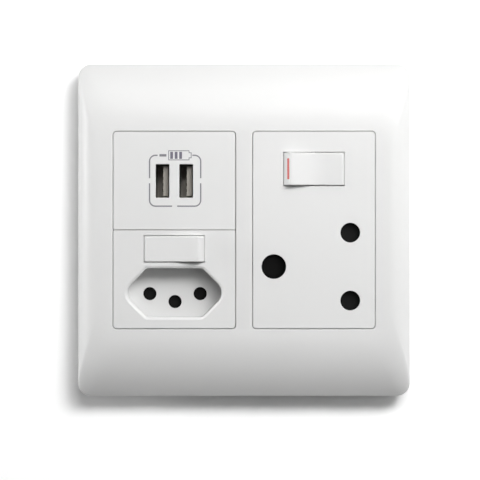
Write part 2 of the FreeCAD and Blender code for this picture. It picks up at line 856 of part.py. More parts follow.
def draw_rocker_profile(sketch):
    """The rocker seen from above round its pivot: two end arcs, and two slopes that meet in a valley."""
    tilt = math.radians(dim.rocker_tilt.number)
    big = rocker_radius.number
    nose = dim.rocker_nose.number
    valley = dim.rocker_valley.number
    low = dim.rocker_skirt.number
    start = (rocker_face.number - nose) / math.cos(tilt)
    a = 1 + math.tan(tilt) ** 2
    b = 2 * math.tan(tilt) * start
    c = start ** 2 - (big - nose) ** 2
    nose_x = (-b + math.sqrt(b * b - 4 * a * c)) / (2 * a)
    nose_v = start + nose_x * math.tan(tilt)
    valley_v = (rocker_face.number + valley) / math.cos(tilt)
    nose_angle = math.atan2(nose_v, nose_x)
    low_angle = math.asin(low / big)
    line_x = nose_x - nose * math.sin(tilt)
    line_v = nose_v + nose * math.cos(tilt)
    valley_x = valley * math.sin(tilt)
    valley_line_v = valley_v - valley * math.cos(tilt)
    low_x = big * math.cos(low_angle)
    right_angle = math.pi / 2

    def arc(x, v, radius, begin, end):
        circle = Part.Circle(Vector(x, -v, 0), Vector(0, 0, 1), radius)
        sketch.addGeometry(Part.ArcOfCircle(circle, begin, end))

    arc(0, 0, big, -nose_angle, -low_angle)
    arc(0, 0, big, -math.pi + low_angle, -math.pi + nose_angle)
    sketch.addGeometry(Part.LineSegment(
        Vector(valley_x, -valley_line_v, 0), Vector(line_x, -line_v, 0)
    ))
    sketch.addGeometry(Part.LineSegment(
        Vector(-valley_x, -valley_line_v, 0), Vector(-line_x, -line_v, 0)
    ))
    arc(0, valley_v, valley, right_angle - tilt, right_angle + tilt)
    arc(nose_x, nose_v, nose, -right_angle - tilt, -nose_angle)
    arc(-nose_x, nose_v, nose, -math.pi + nose_angle, -right_angle + tilt)
    sketch.addGeometry(Part.LineSegment(Vector(-low_x, -low, 0), Vector(low_x, -low, 0)))
    rules = [
        ("Coincident", 0, 3, -1, 1),
        ("Coincident", 1, 3, -1, 1),
        ("Equal", 0, 1),
        ("Tangent", 0, 1, 5, 2),
        ("Tangent", 5, 1, 2, 2),
        ("Tangent", 2, 1, 4, 1),
        ("Tangent", 4, 2, 3, 1),
        ("Tangent", 3, 2, 6, 2),
        ("Tangent", 6, 1, 1, 2),
        ("Coincident", 0, 2, 7, 2),
        ("Coincident", 1, 1, 7, 1),
        ("Horizontal", 7),
        ("Equal", 5, 6),
        ("PointOnObject", 4, 3, -2),
    ]
    for rule in rules:
        sketch.addConstraint(Sketcher.Constraint(*rule))
    set_size(sketch, Sketcher.Constraint("Radius", 0, big), "end_radius", rocker_radius)
    set_size(sketch, Sketcher.Constraint("Radius", 5, nose), "nose_radius", dim.rocker_nose)
    set_size(sketch, Sketcher.Constraint("Radius", 4, valley), "valley_radius", dim.rocker_valley)
    set_size(sketch, Sketcher.Constraint("DistanceY", -1, 1, 7, 1, -low), "skirt", -dim.rocker_skirt)
    distance = rocker_face.number
    set_size(sketch, Sketcher.Constraint("Distance", -1, 1, 2, distance), "right_face", rocker_face)
    set_size(sketch, Sketcher.Constraint("Distance", -1, 1, 3, distance), "left_face", rocker_face)
    set_size(sketch, Sketcher.Constraint("Angle", 2, -tilt), "slope", -dim.rocker_tilt)


def rocker_prism(name, height):
    """The rocker's solid outer form round its pivot, with its long edges rounded."""
    sketch = doc.addObject("Sketcher::SketchObject", name + "_profile")
    draw_rocker_profile(sketch)
    prism = extrude(name + "_prism", sketch, height, both_ways=True)
    doc.recompute()
    chosen = []
    low = -dim.rocker_skirt.number - 1e-6
    for index, edge in enumerate(prism.Shape.Edges, start=1):
        box = edge.BoundBox
        flat_end = box.ZLength < 1e-6
        if flat_end and box.YMin < low:
            chosen.append((index, dim.rocker_edge.number, dim.rocker_edge.number))
    rounded = doc.addObject("Part::Fillet", name + "_rounded")
    rounded.Base = prism
    rounded.Edges = chosen
    return rounded


def flag_seat(name, length, angle):
    """The curved slot in the rocker's left end that holds the coloured mark."""
    outer = round_bar(name + "_outer", rocker_radius + past, length, Vector(0, 0, 1), 0)
    bind(outer, "Angle", dim.flag_sweep)
    start = 180 + angle - dim.flag_sweep / 2
    bind(outer, "Placement.Rotation.Angle", start)
    bind(outer, "Placement.Base.z", -length / 2)
    core_radius = rocker_radius - dim.flag_thickness
    core = upright(name + "_core", 0, 0, (-length / 2 - past, length / 2 + past), core_radius)
    return cut(name, outer, [core])


def make_switch(label, height, beam_width, flag, column, z, side):
    """A rocker with its mark, plunger and spring, and the beam that it rocks.

    flag is the mark's length and angle, and side is 1 if the rocker's left end is up.
    """
    name = label + "_rocker"
    prism = rocker_prism(name, height)
    wall = dim.rocker_wall
    ear_z = height / 2
    cavity_z = height / 2 - wall
    ears = block(
        name + "_ears", about(0, dim.ear_width), (-dim.ear_below_pivot, dim.rocker_skirt + past),
        (-ear_z, ear_z),
    )
    solid = join(name + "_solid", [prism, ears])
    cavity_x = rocker_radius - 2 * wall - dim.rocker_nose
    cavity = block(
        name + "_cavity", (-cavity_x, cavity_x), (-dim.ear_below_pivot - past, rocker_face - wall),
        (-cavity_z, cavity_z),
    )
    shell = cut(name + "_shell", solid, [cavity])
    stem = post(name + "_stem", 0, 0, (-dim.stem_reach, rocker_face - wall / 2), dim.stem_radius)
    pin_reach = ear_z + dim.trunnion_length
    pins = [
        upright(name + "_upper_pin", 0, 0, (cavity_z, pin_reach), dim.trunnion_radius),
        upright(name + "_lower_pin", 0, 0, (-pin_reach, -cavity_z), dim.trunnion_radius),
    ]
    whole = join(name + "_whole", [shell, stem] + pins)
    bore_top = rocker_face - wall
    bore = post(
        name + "_bore", 0, 0, (-dim.stem_reach - past, bore_top),
        dim.plunger_radius + dim.plunger_clearance,
    )
    seat = flag_seat(name + "_flag_seat", *flag)
    rocker = cut(name + "_made", whole, [bore, seat])
    tilt = dim.rocker_tilt * side
    at = (column, pivot_out, z)
    keep_turned(name, rocker, tilt, *at)
    form = rocker_prism(name + "_flag_form", height)
    mark = shared(name + "_flag_made", form, flag_seat(name + "_flag_tool", *flag))
    keep_turned(name + "_flag", mark, tilt, *at)

    tip = dim.plunger_reach - dim.plunger_radius
    plunger = join(label + "_plunger_made", [
        post(label + "_plunger_bar", 0, 0, (-tip, dim.plunger_back), dim.plunger_radius),
        ball(label + "_plunger_tip", 0, -tip, 0, dim.plunger_radius),
    ])
    keep_turned(label + "_plunger", plunger, tilt, *at)
    spring_radius = dim.plunger_radius - dim.spring_wire / 2
    coil = spring_along_z(
        label + "_plunger_coil", 0, 0, (dim.plunger_back, bore_top), spring_radius, PLUNGER_TURNS
    )
    stood = wrap(label + "_plunger_coil_stood", coil)
    stood.Placement = Placement(Vector(), Rotation(Vector(1, 0, 0), 90))
    turned = wrap(label + "_plunger_coil_turned", stood)
    keep_turned(label + "_plunger_spring", turned, tilt, *at)

    half = dim.beam_length / 2
    solid = join(label + "_beam_solid", [
        block(
            label + "_beam_plate", (-half, half), about(0, dim.beam_thickness),
            about(0, beam_width),
        ),
        post(
            label + "_beam_rivet", rivet_x, 0,
            (-dim.beam_thickness / 2 - dim.rivet_height, as_size(0)), dim.rivet_radius,
        ),
        upright(
            label + "_beam_pins", 0, 0,
            about(0, beam_width + 2 * dim.beam_pin_length), dim.beam_pin_radius,
        ),
    ])
    dish = upright(
        label + "_beam_dish", 0, dim.beam_dish_floor + dim.beam_dish_radius, about(0, beam_width),
        dim.beam_dish_radius,
    )
    beam = cut(label + "_beam_made", solid, [dish])
    keep_turned(label + "_moving_contact", beam, -tilt, column, -dim.beam_pivot, z)


def fixed_rivet(label, z):
    """The still rivet that the rocking beam meets."""
    depth = (strap_front - dim.snap_clearance, fixed_rivet_out)
    return post(f"{label}_fixed_rivet", rivet_x, z, depth, dim.rivet_radius)


def ball(name, x, out, z, radius):
    made = doc.addObject("Part::Sphere", name)
    bind(made, "Radius", radius)
    place(made, x, out, z)
    return made


rivet_x = dim.rivet_inset - dim.beam_length / 2
closed_drop = -rivet_x * sine(dim.rocker_tilt)
closed_reach = (dim.beam_thickness / 2 + dim.rivet_height) * cosine(dim.rocker_tilt)
rivet_edge = dim.rivet_radius * sine(dim.rocker_tilt)
fixed_rivet_out = -dim.beam_pivot - closed_drop - closed_reach - rivet_edge - dim.rivet_gap
strap_front = fixed_rivet_out - dim.rivet_height
strap_back = strap_front - dim.strap_thickness


def rocker_openings(name, height, z):
    """What a rocker needs of its cover: the curved window, two bearing ears and their bores."""
    gap = dim.rocker_gap
    reach = height / 2 + gap
    window_radius = rocker_radius + dim.rocker_end_gap
    window = upright(name + "_window", 0, pivot_out, (z - reach, z + reach), window_radius)
    thick = dim.ear_thickness
    depth = (dim.frame_depth + dim.ear_lift, face_back + dim.face_wall / 2)
    across = about(0, dim.ear_width)
    ears = [
        block(name + "_upper_ear", across, depth, (z + reach, z + reach + thick)),
        block(name + "_lower_ear", across, depth, (z - reach - thick, z - reach)),
    ]
    bore_reach = height / 2 + dim.trunnion_length + dim.running_clearance
    bores = upright(
        name + "_bearing", 0, pivot_out, (z - bore_reach, z + bore_reach),
        dim.trunnion_radius + dim.running_clearance,
    )
    return window, ears, bores


def feed_bracket(label, beam_width, z, terminal_x, terminal_z, wire):
    """The brass bracket that carries the rocking beam, in one piece with the feed terminal."""
    name = label + "_feed"
    arm_low = beam_width / 2 + dim.beam_side_gap
    arm_high = arm_low + dim.bracket_wall
    arm_out = (-dim.terminal_front, -dim.beam_pivot + dim.beam_pin_radius + dim.bracket_wall)
    shoulder = dim.beam_pin_radius + dim.bracket_wall + dim.bracket_shoulder
    across = (-shoulder, shoulder)
    clamp = terminal(name, terminal_x, terminal_z, wire)
    foot = (-dim.terminal_front, -dim.terminal_front + dim.strap_thickness)
    foot_x = (-shoulder, terminal_x + dim.terminal_size / 2)
    parts = [
        clamp["block"],
        block(name + "_foot", foot_x, foot, (z - arm_high, z + arm_high)),
        block(name + "_upper_arm", across, arm_out, (z + arm_low, z + arm_high)),
        block(name + "_lower_arm", across, arm_out, (z - arm_high, z - arm_low)),
    ]
    block_low, block_high = about(terminal_z, dim.terminal_size)
    link_z = (block_low, z - arm_high + dim.seat_overlap)
    if block_high.number > (z + arm_high).number:
        link_z = (z + arm_high - dim.seat_overlap, block_high)
    parts.append(block(name + "_link", about(terminal_x, dim.terminal_size), foot, link_z))
    bearing = upright(
        name + "_bearing", 0, -dim.beam_pivot, (z - arm_high - past, z + arm_high + past),
        dim.beam_pin_radius + dim.beam_bearing_clearance,
    )
    made = cut(name + "_made", join(name + "_blank", parts), clamp["holes"] + [bearing])
    return made, clamp


def sleeve_tools(name, x, z, out, radius, wall, slot_side, sunk=False):
    """A split contact sleeve round a plug pin: its outside, its bore and its slot.

    A sunk sleeve stands on a foot: it reaches into the foot, and its bore and slot end there.
    """
    low = out[0] - dim.seat_overlap if sunk else out[0]
    outer = post(name + "_sleeve", x, z, (low, out[1]), radius + wall)
    through = (out[0] if sunk else out[0] - past, out[1] + past)
    bore = post(name + "_bore", x, z, through, radius)
    reach = radius + wall + past
    across = (x, x + reach) if slot_side > 0 else (x - reach, x)
    slit = block(name + "_slit", across, through, about(z, dim.strap_thickness))
    return outer, [bore, slit]


# Large socket

large_line_x = dim.large_earth_offset - dim.large_earth_x
large_live_z = dim.large_pin_spacing / 2 - dim.large_line_z
large_neutral_z = -dim.large_pin_spacing / 2 - dim.large_line_z
large_earth_z = -dim.large_line_z


def make_large_socket():
    z = dim.large_rocker_z
    make_switch(
        "large", dim.large_rocker_height, dim.large_beam_width,
        (dim.large_flag_length, dim.large_flag_angle), right_column, z, 1,
    )
    base_height = window_height - 2 * dim.base_clearance
    inner_top = base_height / 2 - dim.base_wall
    edge = dim.terminal_size / 2 + dim.terminal_clearance
    feed_x = dim.large_feed_x
    feed_z = inner_top - edge
    plate_front = dim.large_plate_front
    plate_back = dim.large_plate_back
    tube_x = dim.case_boss_radius + dim.case_tube_wall + dim.case_tube_gap
    upper = case_screw_parts(
        "large_upper_case", -(base_inner - tube_x), inner_top - tube_x,
        face_back + dim.seat_overlap, plate_front, plate_back,
    )
    lower = case_screw_parts(
        "large_lower_case", dim.large_low_screw_x, tube_x - inner_top,
        face_back + dim.seat_overlap, plate_front, plate_back,
    )
    screws = [upper, lower]

    window, ears, bearings = rocker_openings("large_cover", dim.large_rocker_height, z)
    shade = dim.large_hole_radius + dim.shutter_overlap
    spring_low = large_live_z + shade
    spring_high = spring_low + dim.large_post_gap
    shutter_front = face_back - dim.loose_gap
    shutter_back = plate_front + dim.loose_gap
    ledge = block(
        "large_spring_post", about(dim.large_spring_x, dim.spring_post_width),
        (shutter_back, face_back + dim.seat_overlap),
        (spring_high, spring_high + dim.spring_post_height),
    )
    shell = cover_shell("large_cover", module_height, 0)
    solid = join("large_cover_blank", [shell, ledge] + ears + [s["boss"] for s in screws])
    pin_holes = []
    sites = {
        "live": (large_line_x, large_live_z, dim.large_hole_radius),
        "neutral": (large_line_x, large_neutral_z, dim.large_hole_radius),
        "earth": (-dim.large_earth_x, large_earth_z, dim.large_earth_hole_radius),
    }
    for label, (x, hole_z, radius) in sites.items():
        pin_holes.append(post(
            f"large_{label}_hole", x, hole_z, (face_back - dim.snap_clearance, face_out + past), radius
        ))
    cover = cut(
        "large_cover_made", solid,
        [window, bearings] + pin_holes + [s["boss_hole"] for s in screws],
    )
    keep("large_socket_cover", cover, right_column)

    plate = rounded_block(
        "large_plate_sheet", module_width - 2 * dim.skirt_wall - 2 * dim.loose_gap,
        module_height - 2 * dim.skirt_wall - 2 * dim.loose_gap, dim.module_corner / 2,
        (plate_back, plate_front),
    )
    opening_x = rocker_radius + 2 * dim.rocker_end_gap
    opening_z = dim.large_rocker_height / 2 + dim.rocker_gap + dim.ear_thickness + dim.loose_gap
    plate_tools = [block(
        "large_plate_opening", (-opening_x, opening_x), (plate_back - past, plate_front + past),
        (z - opening_z, z + opening_z),
    )]
    for label, (x, hole_z, radius) in sites.items():
        plate_tools.append(post(
            f"large_plate_{label}_hole", x, hole_z, (plate_back - past, plate_front + past),
            radius + dim.plate_hole_clearance,
        ))
    plate_tools += [s["plate_hole"] for s in screws]
    keep("large_inner_plate", cut("large_plate_made", plate, plate_tools), right_column)

    travel = dim.large_shutter_travel
    spine = about(dim.large_spring_x, dim.large_spine_width)
    tab_x = (spine[1] - dim.seat_overlap, large_line_x + shade)
    depth = (shutter_back, shutter_front)
    arm_low = large_earth_z - travel - dim.large_earth_hole_radius - dim.shutter_floor_gap
    arm_high = large_earth_z + dim.large_earth_hole_radius + dim.shutter_overlap
    arm_left = -(base_inner - dim.loose_gap)
    shutter_parts = [
        block("large_shutter_spine", spine, depth, (large_neutral_z - shade, spring_low)),
        block("large_shutter_live", tab_x, depth, (large_live_z - shade, spring_low)),
        block("large_shutter_neutral", tab_x, depth, about(large_neutral_z, 2 * shade)),
        block(
            "large_shutter_arm", (arm_left, spine[0] + dim.seat_overlap), depth, (arm_low, arm_high)
        ),
    ]
    way = post(
        "large_shutter_way", -dim.large_earth_x, large_earth_z - travel,
        (shutter_back - past, shutter_front + past),
        dim.large_earth_pin_radius + dim.shutter_pin_clearance,
    )
    ramp_foot = large_earth_z - travel + dim.large_earth_pin_radius
    ramp = doc.addObject("Part::Wedge", "large_shutter_ramp")
    ramp_width = about(-dim.large_earth_x, 2 * dim.large_earth_pin_radius)
    slope_top = large_earth_z + dim.large_earth_hole_radius
    land = dim.shutter_ramp_land
    wedge(ramp, ramp_width, (shutter_back + land, shutter_front + land), (ramp_foot - past, slope_top))
    shutter = cut("large_shutter_made", join("large_shutter_blank", shutter_parts), [way, ramp])
    keep("large_shutter", shutter, right_column)
    middle = (shutter_front + shutter_back) / 2
    coil = spring_along_z(
        "large_shutter_coil", dim.large_spring_x, middle, (spring_low, spring_high),
        dim.large_coil_radius, SHUTTER_TURNS,
    )
    keep("large_shutter_spring", wrap("large_shutter_coil_placed", coil), right_column)

    feed, feed_clamp = feed_bracket("large", dim.large_beam_width, z, feed_x, feed_z, "z")
    keep("large_feed_terminal", feed, right_column)

    contact_front = plate_back - dim.strap_thickness
    radius = dim.large_pin_radius + dim.sleeve_fit
    wall = dim.large_sleeve_wall
    pad_x = about(rivet_x, dim.strap_width)
    run_z = large_live_z + radius + wall
    sleeve, tools = sleeve_tools(
        "large_live", large_line_x, large_live_z, (strap_back, contact_front), radius, wall, 1
    )
    live_parts = [
        sleeve,
        fixed_rivet("large", z),
        block("large_live_pad", pad_x, (strap_back, strap_front), (run_z, z + dim.strap_width / 2)),
        block(
            "large_live_run", (pad_x[0], large_line_x + dim.strap_width / 2),
            (strap_back, strap_front), (run_z - past, run_z + dim.strap_width - past),
        ),
    ]
    live = cut("large_live_made", join("large_live_blank", live_parts), tools)
    keep("large_live_contact", live, right_column)

    neutral_terminal_z = edge - inner_top
    clamp = terminal("large_neutral", large_line_x, neutral_terminal_z, "z")
    neutral_out = (-dim.terminal_front + dim.strap_thickness, contact_front)
    sleeve, tools = sleeve_tools(
        "large_neutral", large_line_x, large_neutral_z, neutral_out, radius, wall, 1, sunk=True
    )
    foot = block(
        "large_neutral_foot", about(large_line_x, dim.terminal_size),
        (-dim.terminal_front, -dim.terminal_front + dim.strap_thickness),
        (neutral_terminal_z - dim.terminal_size / 2, large_neutral_z + dim.terminal_size / 2),
    )
    neutral_body = join("large_neutral_blank", [sleeve, foot, clamp["block"]])
    neutral = cut("large_neutral_made", neutral_body, tools + clamp["holes"])
    keep("large_neutral_contact", neutral, right_column)

    jaw = dim.large_earth_pin_radius + dim.sleeve_fit
    jaw_left = -(base_inner - dim.loose_gap)
    jaw_right = -dim.large_earth_x + jaw + wall
    jaw_out = (-dim.terminal_back, contact_front)
    earth_terminal_x = jaw_right - dim.terminal_size / 2
    earth_terminal_z = edge - inner_top
    earth_clamp = terminal("large_earth", earth_terminal_x, earth_terminal_z, "z")
    jaw_x = (jaw_left, jaw_right)
    web_x = (jaw_right - wall, jaw_right)
    jaw_low = large_earth_z - jaw
    jaw_high = large_earth_z + jaw
    tail_out = (-dim.terminal_back, -dim.terminal_front)
    earth_parts = [
        block("large_earth_upper_jaw", jaw_x, jaw_out, (jaw_high, jaw_high + wall)),
        block("large_earth_lower_jaw", jaw_x, jaw_out, (jaw_low - wall, jaw_low)),
        block("large_earth_web", web_x, jaw_out, (jaw_low, jaw_high)),
        block("large_earth_tail", web_x, tail_out, (earth_terminal_z, jaw_low)),
        earth_clamp["block"],
    ]
    earth = cut("large_earth_made", join("large_earth_blank", earth_parts), earth_clamp["holes"])
    keep("large_earth_contact", earth, right_column)

    clamps = [feed_clamp, clamp, earth_clamp]
    clamp_screws = join("large_clamp_set", [c["screw"] for c in clamps])
    keep("large_terminal_screws", clamp_screws, right_column)
    case_screws = join("large_case_set", [s["screw"] for s in screws])
    keep("large_case_screws", case_screws, right_column)

    shell = base_shell("large_base", base_height, 0, plate_back)
    solid = join("large_base_blank", [shell] + [s["tube"] for s in screws])
    wire_hole = dim.wire_radius + dim.access_clearance
    wall_line = base_height / 2
    tools = [c["access"] for c in clamps]
    tools += [s["tube_hole"] for s in screws] + [s["head_hole"] for s in screws]
    sides = ((feed_x, 1), (large_line_x, -1), (earth_terminal_x, -1))
    for index, (x, side) in enumerate(sides):
        span = (wall_line - dim.base_wall - past, wall_line + past)
        span = span if side > 0 else (-span[1], -span[0])
        tools.append(upright(f"large_wire_entry_{index}", x, -dim.wire_depth, span, wire_hole))
    keep("large_socket_base", cut("large_base_made", solid, tools), right_column)


def wedge(made, x, out, z):
    """A ramp: it cuts nothing at its low end and its full depth at the high end."""
    bind(made, "Xmin", x[0])
    bind(made, "Xmax", x[1])
    bind(made, "X2min", x[0])
    bind(made, "X2max", x[1])
    bind(made, "Ymin", -as_size(out[1]))
    bind(made, "Ymax", -as_size(out[0]))
    bind(made, "Zmin", z[0])
    bind(made, "Zmax", z[1])
    bind(made, "Z2min", z[0])
    bind(made, "Z2max", z[0] + dim.shutter_ramp_land)


# Small socket

small_line_z = -dim.small_line_drop
small_earth_z = small_line_z - dim.small_earth_drop
recess_out = face_out - dim.recess_depth
recess_back = recess_out - dim.recess_floor
corner_share = root(as_size(2)) - 1
recess_flat = dim.recess_width - dim.recess_height + 2 * corner_share * dim.recess_tip


def hexagon_block(name, grow, out, shrink):
    """The six-sided recess between two depths, with slanted edges at 45 degrees and round tips.

    It is larger by grow all round and narrower by shrink at its floor.
    """
    levels = []
    for label, depth, inset in (("floor", out[0], as_size(shrink)), ("mouth", out[1], as_size(0))):
        half_z = dim.recess_height / 2 + grow - inset
        flat = recess_flat / 2 + corner_share * (grow - inset)
        tip = flat + half_z
        sketch = face_sketch(f"{name}_{label}", 0, depth, -dim.recess_drop)
        draw_polygon(sketch, [
            (tip, 0), (flat, half_z), (-flat, half_z), (-tip, 0), (-flat, -half_z), (flat, -half_z),
        ])
        levels.append(sketch)
    made = doc.addObject("Part::Loft", name + "_loft")
    made.Sections = levels
    made.Solid = True
    made.Ruled = True
    doc.recompute()
    chosen = []
    for index, edge in enumerate(made.Shape.Edges, start=1):
        if edge.BoundBox.YLength > TINY:
            at_tip = abs(edge.BoundBox.Center.z + dim.recess_drop.number) < TINY
            radius = (dim.recess_tip if at_tip else dim.recess_corner) + grow
            chosen.append((index, radius.number, radius.number))
    rounded = doc.addObject("Part::Fillet", name)
    rounded.Base = made
    rounded.Edges = chosen
    return rounded


def make_small_socket():
    z = -dim.small_rocker_drop
    make_switch(
        "small", dim.small_rocker_height, dim.small_beam_width,
        (dim.small_flag_length, dim.small_flag_angle), left_column, z, -1,
    )
    base_height = half_window_height - 2 * dim.base_clearance
    base_z = -half_window_z
    inner_low = base_z - base_height / 2 + dim.base_wall
    inner_high = base_z + base_height / 2 - dim.base_wall
    plate_front = -dim.small_plate_front
    plate_back = plate_front - dim.small_plate_thickness
    tube_x = dim.case_boss_radius + dim.case_tube_wall + dim.case_tube_gap
    side_x = base_inner - tube_x
    screw_z = inner_low + tube_x + dim.small_screw_lift
    boss_front = recess_back + dim.seat_overlap
    screws = [
        case_screw_parts("small_left_case", -side_x, screw_z, boss_front, plate_front, plate_back),
        case_screw_parts("small_right_case", side_x, screw_z, boss_front, plate_front, plate_back),
    ]
    window, ears, bearings = rocker_openings("small_cover", dim.small_rocker_height, z)
    sink = dim.recess_wall
    draft = dim.recess_draft
    hollow = hexagon_block("small_recess", as_size(0), (recess_out, face_out + TINY), draft)
    bowl_out = (recess_back, face_out - dim.recess_edge_sink)
    bowl = hexagon_block("small_bowl", sink, bowl_out, draft)
    travel = dim.small_shutter_travel
    shade = dim.small_hole_radius + dim.shutter_overlap
    shutter_front = recess_back - dim.loose_gap
    shutter_back = plate_front + dim.loose_gap
    tab_low = small_earth_z - shade
    spring_low = small_earth_z + shade - dim.small_spring_sink
    shutter_top = small_line_z + shade
    spring_high = shutter_top + travel + dim.small_spring_rest
    ledge = block(
        "small_spring_post", about(0, dim.spring_post_width),
        (shutter_back, recess_back + dim.seat_overlap),
        (spring_high, spring_high + dim.small_spring_rest),
    )
    shell = cover_shell("small_cover", half_module_height, -half_module_z)
    solid = join("small_cover_blank", [shell, bowl, ledge] + ears + [s["boss"] for s in screws])
    sites = {
        "live": (-(dim.small_pin_spacing / 2), small_line_z),
        "neutral": (dim.small_pin_spacing / 2, small_line_z),
        "earth": (as_size(0), small_earth_z),
    }
    holes = []
    for label, (x, hole_z) in sites.items():
        holes.append(post(
            f"small_{label}_hole", x, hole_z, (recess_back - past, recess_out + past), dim.small_hole_radius
        ))
    cover = cut(
        "small_cover_made", solid,
        [window, bearings, hollow] + holes + [s["boss_hole"] for s in screws],
    )
    keep("small_socket_cover", cover, left_column)

    plate_top = z - dim.small_rocker_height / 2 - dim.loose_gap
    plate = block(
        "small_plate_sheet", about(0, 2 * (base_inner - dim.loose_gap)), (plate_back, plate_front),
        (inner_low + dim.loose_gap, plate_top),
    )
    tools = []
    for label, (x, hole_z) in sites.items():
        tools.append(post(
            f"small_plate_{label}_hole", x, hole_z, (plate_back - past, plate_front + past),
            dim.small_hole_radius + dim.plate_hole_clearance,
        ))
    tools += [s["plate_hole"] for s in screws]
    keep("small_inner_plate", cut("small_plate_made", plate, tools), left_column)

    body = body_of("small_shutter_body")
    half_tab = dim.small_hole_radius + dim.small_earth_tab
    wide = dim.small_pin_spacing / 2 + shade
    sketch = face_sketch("small_shutter_outline", 0, shutter_back, 0, body)
    notch = dim.small_spring_way + dim.spring_wire / 2
    draw_polygon(sketch, [
        (-wide, shutter_top), (-wide, small_line_z - shade), (-half_tab, small_line_z - shade),
        (-half_tab, tab_low), (half_tab, tab_low), (half_tab, small_line_z - shade),
        (wide, small_line_z - shade), (wide, shutter_top), (notch, shutter_top),
        (notch, spring_low), (-notch, spring_low), (-notch, shutter_top),
    ])
    pad = body.newObject("PartDesign::Pad", "small_shutter_pad")
    pad.Profile = sketch
    bind(pad, "Length", shutter_front - shutter_back)
    keep("small_shutter", body, left_column)
    middle = (shutter_front + shutter_back) / 2
    coil = spring_along_z(
        "small_shutter_coil", 0, middle, (spring_low, spring_high),
        (shutter_front - shutter_back) / 2 - dim.spring_wire / 2, SHUTTER_TURNS,
    )
    keep("small_shutter_spring", wrap("small_shutter_coil_placed", coil), left_column)

    edge = dim.terminal_size / 2 + dim.terminal_clearance
    feed_x = base_inner - edge
    feed, feed_clamp = feed_bracket(
        "small", dim.small_beam_width, z, feed_x, inner_high - edge, "x"
    )
    keep("small_feed_terminal", feed, left_column)

    contact_front = plate_back - dim.small_sleeve_lip
    radius = dim.small_pin_radius + dim.sleeve_fit
    wall = dim.small_sleeve_wall
    deep = recess_out - dim.small_pin_reach + dim.small_pin_stop
    pad_x = about(rivet_x, dim.strap_width)
    pin_x = dim.small_pin_spacing / 2
    sleeve, tools = sleeve_tools(
        "small_live", -pin_x, small_line_z, (deep, contact_front), radius, wall, 1
    )
    live_parts = [
        sleeve,
        fixed_rivet("small", z),
        block(
            "small_live_pad", pad_x, (strap_back, strap_front),
            (small_line_z, z + dim.strap_width / 2),
        ),
    ]
    live = cut("small_live_made", join("small_live_blank", live_parts), tools)
    keep("small_live_contact", live, left_column)

    clamps = [feed_clamp]
    low_z = inner_low + edge
    link_top = small_earth_z - radius + dim.snap_clearance
    link_low = link_top - dim.small_link_height - wall
    link_out = about(-dim.terminal_front, dim.small_link_thickness)
    for label, side in (("neutral", 1), ("earth", -1)):
        clamp_x = side * (base_inner - edge)
        clamp = terminal(f"small_{label}", clamp_x, low_z, "z")
        clamps.append(clamp)
        x = pin_x if label == "neutral" else as_size(0)
        pin_z = small_line_z if label == "neutral" else small_earth_z
        sleeve, tools = sleeve_tools(
            f"small_{label}", x, pin_z, (deep, contact_front), radius, wall, -1
        )
        link_x = (x, clamp_x) if side > 0 else (clamp_x, x)
        parts = [sleeve, clamp["block"]]
        parts.append(block(f"small_{label}_link", link_x, link_out, (link_low, link_top)))
        if side > 0:
            parts.append(block(
                f"small_{label}_riser", about(x, dim.small_riser_width), link_out,
                (link_low, pin_z - radius + dim.snap_clearance),
            ))
        made = cut(f"small_{label}_made", join(f"small_{label}_blank", parts), tools + clamp["holes"])
        keep(f"small_{label}_contact", made, left_column)

    clamp_screws = join("small_clamp_set", [c["screw"] for c in clamps])
    keep("small_terminal_screws", clamp_screws, left_column)
    case_screws = join("small_case_set", [s["screw"] for s in screws])
    keep("small_case_screws", case_screws, left_column)

    shell = base_shell("small_base", base_height, base_z, dim.small_base_rim)
    solid = join("small_base_blank", [shell] + [s["tube"] for s in screws])
    wire_hole = dim.wire_radius + dim.access_clearance
    tools = [c["access"] for c in clamps]
    bowl_way = (recess_back - dim.loose_gap, face_out)
    tools.append(hexagon_block("small_bowl_way", sink + dim.loose_gap, bowl_way, draft))
    tools += [s["tube_hole"] for s in screws] + [s["head_hole"] for s in screws]
    for label, side in (("neutral", 1), ("earth", -1)):
        tools.append(upright(
            f"small_{label}_entry", side * (base_inner - edge), -dim.wire_depth,
            (inner_low - dim.base_wall - past, inner_low + past), wire_hole,
        ))
    tools.append(crosswise(
        "small_feed_entry", (base_inner - past, base_inner + dim.base_wall + past), -dim.wire_depth,
        inner_high - edge, wire_hole,
    ))
    keep("small_socket_base", cut("small_base_made", solid, tools), left_column)


# Charging module

